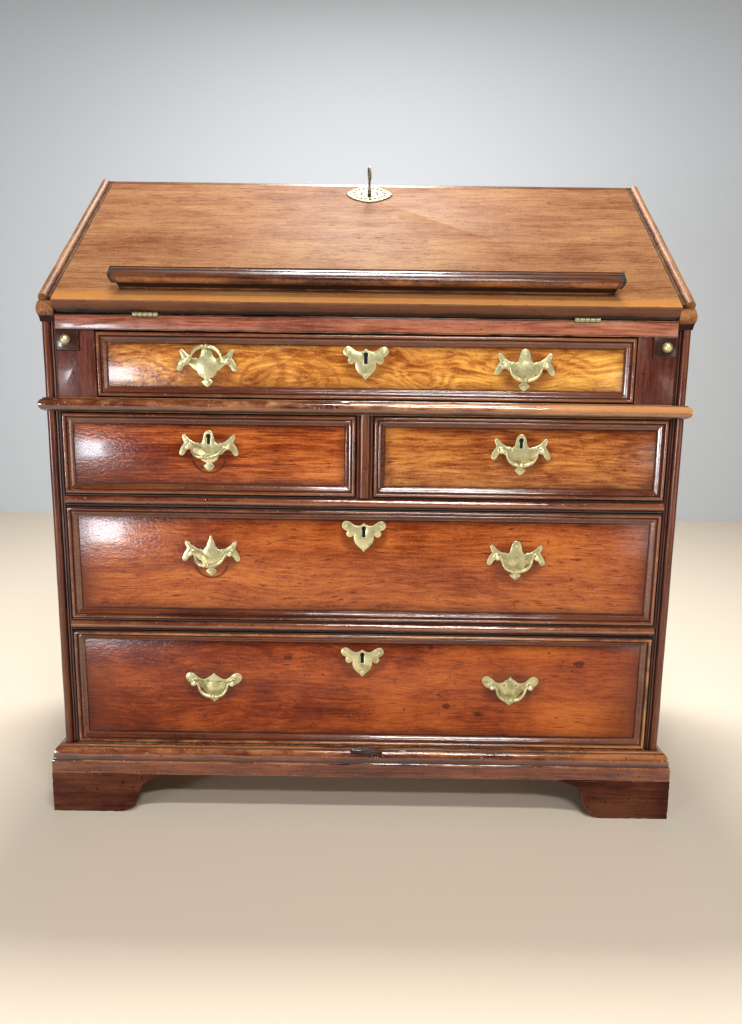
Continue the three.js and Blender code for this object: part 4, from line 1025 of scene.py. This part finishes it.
class MouldingsOperator(bpy.types.Operator):
    """Waist and base mouldings round the front and both sides"""

    bl_idname = "desk.mouldings"
    bl_label = "Mouldings"

    def corners(self):
        """Stations round the front, with each corner cut back in three steps"""
        soft = 0.35
        turns = [(1, 1 - soft), (1 - soft * 0.16, 1 - soft * 0.16), (1 - soft, 1)]
        return [
            station((-HALF, CASE_BACK, 0), (-1, 0, 0), UP),
            *(station((-HALF, 0, 0), (-a, -b, 0), UP) for a, b in turns),
            *(station((HALF, 0, 0), (b, -a, 0), UP) for a, b in turns),
            station((HALF, CASE_BACK, 0), RIGHT, UP),
        ]

    def execute(self, context):
        wear = sizes().wear / MM
        bottom, top = reach("waist_rail", 2)
        middle = (bottom + top) / 2
        # The nose's underside is marked -1, painted shade under it; its top is a rubbed crest, partly a
        # painted highlight.
        nose = (
            [(-0.5, bottom + 0.5, -1), (1.2, bottom + 0.6, -1), (2.4, bottom + 1.4, -1)]
            + arc((1.4, middle - 0.3), (6.5, 8.3), -78, 78, 14, (-1.0, 0.75, 1.0))
            + [(2.2, top - 1.6, -0.4), (1.5, top - 0.5, 0.6), (-0.5, top - 0.4, 0.2)]
        )
        bm = bmesh.new()
        swept(bm, nose, run_of(self.corners(), 9))
        weathered(bm, wear, 50, 1.6)
        finished(bm, "waist_nose", "case", finishes["waist"], ["waist_rail"])

        z0, tall = FOOT_TOP, BASE_TOP - FOOT_TOP
        section = [(out, z0 + share * tall, tone) for out, share, tone in (
            [(-0.5, 0, -0.2), (14.6, 0, 0.1), (15.7, 0.02, 0.7), (16, 0.05, 0.4), (16, 0.2, 0.0),
             (16, 0.44, 0.1), (15.7, 0.49, 0.9), (15.0, 0.52, 0.4), (14.2, 0.54, -0.9), (13.8, 0.58, -0.6)]
            + arc((7.4, 0.60), (6.4, 0.33), 0, 84, 9, (-0.1, 0.75, 0.8))
            + [(7.2, 0.94, -0.5), (6.4, 0.95, -0.8), (6.2, 0.99, 0.9), (5.4, 1.0, 0.9), (-0.5, 1.0, 0.3)]
        )]
        bm = bmesh.new()
        swept(bm, section, run_of(self.corners(), 8))
        layer = tone_of(bm)
        chip_middle, chip_half = 8, 19
        for vert in bm.verts:
            if abs(vert.co.x - chip_middle) < chip_half and vert.co.y < 0 and vert.co.z > z0 + tall * 0.85:
                vert.co.z -= 3.5 + 1.8 * noise.noise(vert.co / 3)
                vert.co.y = max(vert.co.y, -6.2 + 1.5 * noise.noise(vert.co / 5))
                vert[layer] = -1
        weathered(bm, wear * 1.6, 40, 2.6)
        finished(bm, "base_ovolo", "case", finishes["base"], ["base_moulding"])
        return {"FINISHED"}


def chipped(points, depth, seed):
    """An outline whose bottom and outer edges are broken by small chips"""
    made = []
    for (a, b), (c, d) in zip(points, points[1:] + points[:1]):
        steps = max(1, round(math.hypot(c - a, d - b) / 4))
        for i in range(steps):
            x, z = a + (c - a) * i / steps, b + (d - b) * i / steps
            chip = max(0.0, noise.noise((x / 8, z / 8, seed)) + 0.1) * depth
            made.append((x + (chip if x < 0.01 else 0), z + (chip if z < 0.01 else 0)))
    return made


class FeetOperator(bpy.types.Operator):
    """Bracket feet, cut to their curve"""

    bl_idname = "desk.feet"
    bl_label = "Feet"

    def bracket(self, length, start, seed):
        curve = [(a * length, b * FOOT_TOP) for a, b in BRACKET]
        return chipped([(start, 0), *curve, (length, FOOT_TOP), (start, FOOT_TOP)], 1.7, seed + start)

    def execute(self, context):
        thick = 20
        for sign, side in SIDES:
            for name, edge, inward in (("front", -BASE_OUT, 1), ("rear", CASE_BACK, -1)):
                corner = (sign * (HALF + BASE_OUT), edge, 0)
                seed, depth = sign * 5.3, inward * sign * thick
                bm = bmesh.new()
                slab(bm, self.bracket(178, 0, seed), station(corner, (-sign, 0, 0), UP), depth, 1.3)
                slab(bm, self.bracket(150, thick, seed), station(corner, (0, inward, 0), UP), -depth, 1.3)
                foot = f"{name}_foot_{side}"
                made = finished(bm, foot + "_bracket", "case", finishes["foot"], [foot])
                low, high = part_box(foot)
                for vert in made.data.vertices:
                    vert.co = [max(a, min(b, c)) for a, b, c in zip(low, high, vert.co)]
        return {"FINISHED"}


class InteriorOperator(bpy.types.Operator):
    """Pigeonholes and the two small drawers"""

    bl_idname = "desk.interior"
    bl_label = "Interior"

    def execute(self, context):
        finished(eased_copy("pigeonholes", 0.8), "pigeonhole_rack", "case", finishes["rack"],
                 ["pigeonholes"])
        for sign, side in SIDES:
            name = "small_drawer_" + side
            x0, x1 = sorted(reach(name, 0))
            z0, z1 = reach(name, 2)
            front, back = reach(name, 1)
            front += 18  # the knob stands this far out
            bm = bmesh.new()
            board(bm, (x0, x1), (front, front + 8), (z0, z1), 0.8)
            finished(bm, name + "_front", name, finishes["small_drawer"], [name])
            bm = bmesh.new()
            wall = 5
            for span in ((x0, x0 + wall), (x1 - wall, x1)):
                board(bm, span, (front + 8, back), (z0, z1), 0.4)
            board(bm, (x0 + wall, x1 - wall), (back - wall, back), (z0, z1), 0.4)
            board(bm, (x0 + wall, x1 - wall), (front + 8, back - wall), (z0, z0 + wall), 0.3)
            finished(bm, name + "_box", name, finishes["oak"])
            bm = bmesh.new()
            turned(bm, SMALL_KNOB, ((x0 + x1) / 2, front, (z0 + z1) / 2), BACK)
            finished(bm, name + "_knob", name, finishes["knob"], sharp=50)
        return {"FINISHED"}


class LopersOperator(bpy.types.Operator):
    """The slides that hold the open lid, with their brass knobs"""

    bl_idname = "desk.lopers"
    bl_label = "Lopers"

    def execute(self, context):
        for sign, side in SIDES:
            name = "loper_" + side
            x, z = reach(name, 0), reach(name, 2)
            back = reach(name, 1)[1]
            bm = bmesh.new()
            board(bm, x, (1, back), z, 0.9)
            finished(bm, name + "_bar", name, finishes["loper"], [name])
            bm = bmesh.new()
            ball = [math.radians(angle) for angle in range(28, 180, 13)]
            profile = [(0.5, 0, 0), (0.5, 4.2, 0.3), (-0.8, 4.2, 0.6), (-1.2, 3.0, -0.8), (-2.8, 2.8, -0.4)]
            profile += [(-9 + 7 * math.cos(a), 7 * math.sin(a), 0.5) for a in ball[:-1]] + [(-16, 0, 0.8)]
            turned(bm, profile, (sum(x) / 2, 1, sum(z) / 2), BACK, 24)
            finished(bm, name + "_knob", name, finishes["knob"], sharp=50)
        return {"FINISHED"}


class LidOperator(bpy.types.Operator):
    """The fall lid and the ledge that holds an open book"""

    bl_idname = "desk.lid"
    bl_label = "Lid"

    def execute(self, context):
        lid = finished(eased_copy("lid_panel", sizes().ease / MM * 0.55), "lid_board", "lid", finishes["lid"],
                       ["lid_panel"])
        # Faces that look down take the darker lid_edge finish, painted shade.
        lid.data.materials.append(finishes["lid_edge"])
        down = Vector((0, -math.cos(SLOPE), -math.sin(SLOPE)))
        for face in lid.data.polygons:
            if abs(face.normal.dot(down)) > 0.9:
                face.material_index = 1

        stations = []
        for out, up, _ in LEDGE_LEVELS:
            x, low = LEDGE["half"] + min(up, 1) * LEDGE["overhang"], LEDGE["start"] - out * LEDGE["overhang"]
            place = (-x, low, LID_THICK + 0.3 + up * LEDGE["height"])
            stations.append(station(place, (2 * x, 0, 0), (0, LEDGE["start"] + LEDGE["depth"] - low, 0)))
        bm = bmesh.new()
        swept(bm, SQUARE, stations, tones=[tone for _, _, tone in LEDGE_LEVELS])
        front = [edge for edge in bm.edges if abs(edge.verts[0].co.x - edge.verts[1].co.x) > 100]
        bmesh.ops.subdivide_edges(bm, edges=front, cuts=60, use_grid_fill=True)
        layer = tone_of(bm)
        for vert in bm.verts:
            level = min(stations, key=lambda level: abs(level.translation.z - vert.co.z))
            if abs(vert.co.x) > -level.translation.x - 0.5:
                vert[layer] = -1
        weathered(bm, 0.25, 60, 1.0)
        finished(bm, "ledge_moulding", "lid", finishes["ledge"], ["book_ledge"],
                 place=LID, sharp=48)
        return {"FINISHED"}


class LidLockOperator(bpy.types.Operator):
    """The lid's oval plate, lock, bolt and key"""

    bl_idname = "desk.lid_lock"
    bl_label = "Lid lock"

    def execute(self, context):
        outline = []
        for angle in around(192):
            swell = (0.97 + 0.03 * abs(math.cos(angle * 10))) * (1 - 0.1 * abs(math.sin(2 * angle)))
            x, y = OVAL_HALF[0] * swell * math.cos(angle), OVAL_HALF[1] * swell * math.sin(angle)
            outline.append((x, KEY_PLACE + y))
        bm = bmesh.new()
        placed = station((0, 0, LID_THICK + 0.3), RIGHT, BACK)
        plate(bm, [outline, keyhole(3.4, 10, 0, KEY_PLACE)], placed, PLATE_THICK, 0.6)
        for x in (-31.5, 31.5):
            dome(bm, (x, KEY_PLACE, LID_THICK + 1.9), UP, 1.5)
        finished(bm, "oval_plate", "lid", finishes["oval"], ["lid_keyhole_plate"], place=LID)

        for node, body in (("lid_lock", "lid"), ("lock_bolt", "bolt")):
            finished(eased_copy(node, 0.25, 1), node + "_steel", body, finishes["steel"], [node])

        bm = bmesh.new()
        turned(bm, KEY_SHAFT, (0, KEY_PLACE, 0), UP)
        lean = Matrix.Rotation(math.radians(11), 4, "Z")
        ring = [(math.cos(a) * 1.7, math.sin(a) * 1.5, 0.5) for a in around(12)]
        stations = []
        for angle in around(36):
            out = lean @ Vector((0, math.cos(angle), math.sin(angle)))
            centre = Vector((0, KEY_PLACE, 57)) + Vector((out.x * 9.0, out.y * 9.0, out.z * 9.6))
            stations.append(station(centre, lean @ Vector(RIGHT), out))
        swept(bm, ring, stations, closed=True)
        board(bm, (-0.9, 0.9), (KEY_PLACE - 8, KEY_PLACE), (3, 8), 0.2)
        finished(bm, "key", "key", finishes["steel"], ["lid_key"], place=LID, sharp=45)
        return {"FINISHED"}


def dome(bm, centre, axis, radius):
    """The round head of a pin"""
    rise = radius * 0.55
    angles = [math.radians(angle) for angle in range(0, 90, 18)]
    points = [(rise * math.sin(a), radius * math.cos(a), 0.6) for a in angles]
    turned(bm, [(-0.4, radius, -0.6), *points, (rise, 0, 1.0)], centre, axis, 12)


class HingesOperator(bpy.types.Operator):
    """Butt hinges: their leaves, knuckles and pins"""

    bl_idname = "desk.hinges"
    bl_label = "Hinges"

    def knuckle(self, bm, low, high, hollow):
        profile = [(low, 3.0, 0.4), (low + 0.4, 3.4, 0.8), (high - 0.4, 3.4, 0.8), (high, 3.0, 0.4)]
        ends = [(high, 1.9, -1), (low, 1.9, -1), (low, 3.0, 0.4)] if hollow else [(high, 0, 0)]
        start = [] if hollow else [(low, 0, 0)]
        turned(bm, start + profile + ends, (0, 0, 0), RIGHT)

    def execute(self, context):
        half, knuckle = 18, 7.2
        for sign, side in SIDES:
            for kind, body, slot in (("fixed", "case", 0), ("lid", "lid", 1)):
                node = f"hinge_{side}_{kind}_leaf"
                leaf = (0, PLATE_THICK) if slot else (-PLATE_THICK, 0)
                bm = bmesh.new()
                for i in range(slot, 5, 2):
                    low, high = -half + knuckle * i + 0.2, -half + knuckle * (i + 1) - 0.2
                    self.knuckle(bm, low, high, slot)
                    board(bm, (low, high), (2.55, 5.2), leaf, 0.1)
                if not slot:
                    pin = [(-half, 0, 0), (-half, 1.5, 0), (half, 1.5, 0), (half, 0, 0)]
                    turned(bm, pin, (0, 0, 0), RIGHT, 14)
                board(bm, (-half, half), (4.2, 24), leaf, 0.2)
                place = LID if slot else CASE @ Matrix.Translation((0, 0, BED_TOP))
                finished(bm, node + "_brass", body, finishes["hinge"], [node],
                         place=place @ Matrix.Translation((sign * HINGE_X, 0, 0)))
        return {"FINISHED"}


class DrawersOperator(bpy.types.Operator):
    """Drawer fronts with their applied frames, and the boxes behind them"""

    bl_idname = "desk.drawers"
    bl_label = "Drawers"

    def execute(self, context):
        wear = sizes().wear / MM
        for name in DRAWERS:
            x0, x1 = reach(name + "_front", 0)
            z0, z1 = reach(name + "_front", 2)
            bm = bmesh.new()
            board(bm, (x0 + 0.2, x1 - 0.2), (FIELD, FIELD + FRONT_THICK), (z0 + 0.2, z1 - 0.2), 0.5)
            finished(bm, name + "_field", name, finishes[name], [name + "_front"])

            corners = [
                station((x, FIELD, z), (across, 0, up), FORWARD)
                for x, z, across, up in ((x0, z0, 1, 1), (x1, z0, -1, 1), (x1, z1, -1, -1), (x0, z1, 1, -1))
            ]
            bm = bmesh.new()
            swept(bm, FRAME, run_of([*corners, corners[0]], 9)[:-1], closed=True)
            weathered(bm, wear * 0.7, 50, 1.0)
            finished(bm, name + "_moulding", name, finishes[name + "_frame"])

            (left, right), (low, high) = reach(name + "_box", 0), reach(name + "_box", 2)
            depth = (FIELD + FRONT_THICK, reach(name + "_box", 1)[1])
            bm = bmesh.new()
            for x in (left, right - BOX_WALL):
                board(bm, (x, x + BOX_WALL), depth, (low, high), 0.7)
            left, right = left + BOX_WALL, right - BOX_WALL
            board(bm, (left, right), (depth[1] - BOX_WALL, depth[1]), (low + 4, high), 0.7)
            finished(bm, name + "_sides", name, finishes["oak"], [name + "_box"])
            bm = bmesh.new()
            for i in range(4):
                span = [left + (right - left) * part / 4 for part in (i, i + 1)]
                board(bm, span, depth, (low + 4, low + 10), 0.4)
            finished(bm, name + "_bottom", name, finishes["oak"])
        return {"FINISHED"}


class HandlesOperator(bpy.types.Operator):
    """Brass plates with their posts, and the bails that swing on them"""

    bl_idname = "desk.handles"
    bl_label = "Handles"

    def handle(self, name, drawer, x, z, outline, hole):
        bm = bmesh.new()
        loops = [rounded(outline, x, z)]
        if hole:
            loops.append(keyhole(3.7, 11.5, x, z + 14.5, 2.4))
        if outline is LOBED:
            for side in (-9, 9):
                loops.append([(x + side + 1.5 * math.cos(a), z - 1 + 1.5 * math.sin(a)) for a in around(12)])
        plate(bm, loops, ON_FRONT, PLATE_THICK, sizes().rim / MM)
        upper, lower = (9, 28) if outline is LOBED else (15.5, 29.5)
        if not hole:
            dome(bm, (x, FIELD - PLATE_THICK, z + upper), FORWARD, 1.8)
        dome(bm, (x, FIELD - PLATE_THICK, z - lower), FORWARD, 1.8)
        for side in (-1, 1):
            turned(bm, POST, (x + side * POSTS / 2, FIELD, z), FORWARD)
        finished(bm, name, drawer, finishes["brass"], [name.replace("_plate", "")], sharp=40)

    def bail(self, name, body, node, x, z, rest):
        swell = sizes().bail_swell / MM
        # (across, up, radius) from a post to the middle
        marks = [
            (27.2, 0.3, 1.5), (25.6, 0.4, 1.9), (24.2, 0.2, 2.4), (22.8, -1.2, 2.1), (21.8, -4.4, 1.9),
            (20.8, -8.4, 2.0), (18.9, -12.4, 2.15), (15.8, -16.0, swell * 0.96), (11.8, -18.8, swell),
            (7.6, -20.4, swell), (4.4, -20.9, swell * 1.05), (3.0, -20.9, swell * 0.8),
            (2.3, -20.9, swell * 0.95), (1.6, -20.9, swell * 1.25), (0.6, -20.9, swell * 1.4),
        ]
        places = marks + [(-a, b, r) for a, b, r in reversed(marks)]
        points = [Vector((-a, 0, b)) for a, b, _ in places]
        stations = []
        for i, (_, _, radius) in enumerate(places):
            tangent = points[min(i + 1, len(points) - 1)] - points[max(i - 1, 0)]
            tangent.normalize()
            side = Vector((tangent.z, 0, -tangent.x))
            stations.append(station(points[i], side * radius, Vector((0, radius, 0))))
        # The bail's tone of 0.35 lightens it a little: part of its painted highlight.
        circle = [(math.cos(a), math.sin(a), 0.35) for a in around(12)]
        bm = bmesh.new()
        swept(bm, circle, stations)
        turn = Matrix.Rotation(-math.radians(rest), 4, "X")
        finished(bm, name, body, finishes["bail"], [node],
                 place=CASE @ Matrix.Translation((x, PIVOT, z)) @ turn, sharp=50)

    def execute(self, context):
        for drawer, about in DRAWERS.items():
            for side, rest in about["rests"].items():
                tail = "_" + side if side else ""
                x = HANDLE_X * (-1 if "left" in drawer + side else 1)
                z = about["handles"]
                outline = STEEPLE if drawer + tail == "middle_drawer_left" else about["outline"]
                self.handle(f"{drawer}_handle{tail}_plate", drawer, x, z, outline, not side)
                node = f"{drawer}_bail{tail}"
                self.bail(node + "_brass", bail_body(drawer, side), node, x, z, rest)
        return {"FINISHED"}


class EscutcheonsOperator(bpy.types.Operator):
    """Keyhole plates of the drawers, with near-black lock faces behind every keyhole, painted shade inside
    the keyholes
    """

    bl_idname = "desk.escutcheons"
    bl_label = "Escutcheons"

    def shaded_lock_face(self, name, drawer, x, z):
        # A near-black lock face behind a keyhole: a lock, painted black as the shade inside the keyhole.
        bm = bmesh.new()
        board(bm, (x - 5, x + 5), (FIELD - 0.25, FIELD + 0.5), (z - 9, z + 11), 0.05)
        finished(bm, name, drawer, finishes["dark"])

    def execute(self, context):
        for drawer, about in DRAWERS.items():
            key = about["key"]
            if key is None:
                x = HANDLE_X * (-1 if "left" in drawer else 1)
                self.shaded_lock_face(drawer + "_lock_face", drawer, x, about["handles"] + 11)
                continue
            bm = bmesh.new()
            loops = [rounded(BAT, 0, key), keyhole(3.7, 13, 0, key + 5.8, 2.7)]
            plate(bm, loops, ON_FRONT, PLATE_THICK, sizes().rim / MM)
            for x, z in ((-26, 9.5), (26, 9.5), (0, -22)):
                dome(bm, (x, FIELD - PLATE_THICK, key + z), FORWARD, 2.1)
            finished(bm, drawer + "_bat_plate", drawer, finishes["brass"], [drawer + "_escutcheon"],
                     sharp=40)
            self.shaded_lock_face(drawer + "_lock_face", drawer, 0, key)
        return {"FINISHED"}


class StageOperator(bpy.types.Operator):
    """Floor, backdrop, lamps and camera"""

    bl_idname = "desk.stage"
    bl_label = "Stage"

    def sheet(self, name, tint, corner, across, up):
        bm = bmesh.new()
        verts = bmesh.ops.create_grid(bm, x_segments=1, y_segments=1, size=1)["verts"]
        bmesh.ops.transform(bm, matrix=station(corner, across, up), verts=verts)
        mesh = bpy.data.meshes.new(name)
        bm.to_mesh(mesh)
        bm.free()
        made = Finish(name)
        mesh.materials.append(made.surface(color=tint, rough=0.85, specular=0.1))
        piece = bpy.data.objects.new(name, mesh)
        bpy.context.scene.collection.objects.link(piece)

    def lamp(self, name, place, aim, size, power, tint):
        data = bpy.data.lights.new(name, "AREA")
        data.shape, data.size, data.size_y = "RECTANGLE", size[0], size[1]
        data.energy, data.color = power, tint
        lamp = bpy.data.objects.new(name, data)
        lamp.location = place
        lamp.rotation_euler = (Vector(aim) - Vector(place)).to_track_quat("-Z", "Y").to_euler()
        bpy.context.scene.collection.objects.link(lamp)

    def execute(self, context):
        tint = tints()
        self.sheet("studio_floor", tuple(tint.floor), (0, 0, 0), (6, 0, 0), (0, 6, 0))
        self.sheet("studio_wall", tuple(tint.wall), (0, 2.38, 3), (6, 0, 0), (0, 0, 3))
        desk, warm = (0, -0.2, 0.5), (1.0, 0.98, 0.94)
        self.lamp("key_lamp", (0.2, -1.35, 2.7), desk, (0.9, 0.2), 29, warm)
        self.lamp("spot_lamp", (0.45, -2.4, 2.1), desk, (0.8, 0.16), 25, warm)
        self.lamp("back_lamp", (-0.05, 0.7, 2.95), (0, -0.2, 0.3), (0.7, 0.45), 82, (1.0, 0.98, 0.95))
        self.lamp("left_lamp", (-2.3, -2.2, 0.4), desk, (0.7, 0.7), 7, (0.97, 0.98, 1.0))
        self.lamp("right_lamp", (2.3, -2.2, 0.4), desk, (0.7, 0.7), 7, (1.0, 0.95, 0.88))
        self.lamp("window_lamp", (-2.15, -2.5, 0.42), (-0.35, -0.2, 0.5), (0.28, 0.45), 26, (0.86, 0.92, 1.0))

        world = bpy.data.worlds.new("studio")
        world.use_nodes = True
        sky = world.node_tree.nodes["Background"]
        sky.inputs["Color"].default_value = (0.80, 0.82, 0.86, 1)
        sky.inputs["Strength"].default_value = 0.09
        scene = bpy.context.scene
        scene.world = world

        data = bpy.data.cameras.new("photo_camera")
        frame_tall, focal = 1024, 750  # pixels
        data.sensor_width, data.lens = 36, focal / frame_tall * 36
        data.clip_start, data.clip_end = 0.05, 50
        camera = bpy.data.objects.new("photo_camera", data)
        eye = (0.0121, -1.0790 + FRONT, 0.6560)
        pan, tilt, roll = 0.10, 90 - 9.68, 0.77
        turn = (Matrix.Rotation(math.radians(pan), 4, "Z") @ Matrix.Rotation(math.radians(tilt), 4, "X")
                @ Matrix.Rotation(math.radians(roll), 4, "Z"))
        camera.matrix_world = Matrix.Translation(eye) @ turn
        scene.collection.objects.link(camera)
        scene.camera = camera
        scene.view_settings.view_transform = "Standard"
        return {"FINISHED"}


class DESK_PT_panel(bpy.types.Panel):
    """Everything the desk is built from"""

    bl_label = "Slant-Front Desk"
    bl_space_type = "VIEW_3D"
    bl_region_type = "UI"
    bl_category = "Desk"

    def draw(self, context):
        for group in (context.scene.desk_sizes, context.scene.desk_colours):
            for name in group.__annotations__:
                self.layout.prop(group, name)
        for operator in OPERATORS:
            self.layout.operator(operator.bl_idname)


OPERATORS = (
    FinishesOperator, SidesOperator, CaseBoardsOperator, RailsOperator, MouldingsOperator, FeetOperator,
    InteriorOperator, LopersOperator, LidOperator, LidLockOperator, HingesOperator, DrawersOperator,
    HandlesOperator, EscutcheonsOperator, StageOperator,
)
CLASSES = (DeskSizes, DeskColours, *OPERATORS, DESK_PT_panel)


def register():
    for cls in CLASSES:
        bpy.utils.register_class(cls)
    bpy.types.Scene.desk_sizes = bpy.props.PointerProperty(type=DeskSizes)
    bpy.types.Scene.desk_colours = bpy.props.PointerProperty(type=DeskColours)


def unregister():
    del bpy.types.Scene.desk_sizes, bpy.types.Scene.desk_colours
    for cls in reversed(CLASSES):
        bpy.utils.unregister_class(cls)


def main():
    register()
    for operator in OPERATORS:
        group, name = operator.bl_idname.split(".")
        getattr(getattr(bpy.ops, group), name)()


if __name__ == "__main__":
    main()
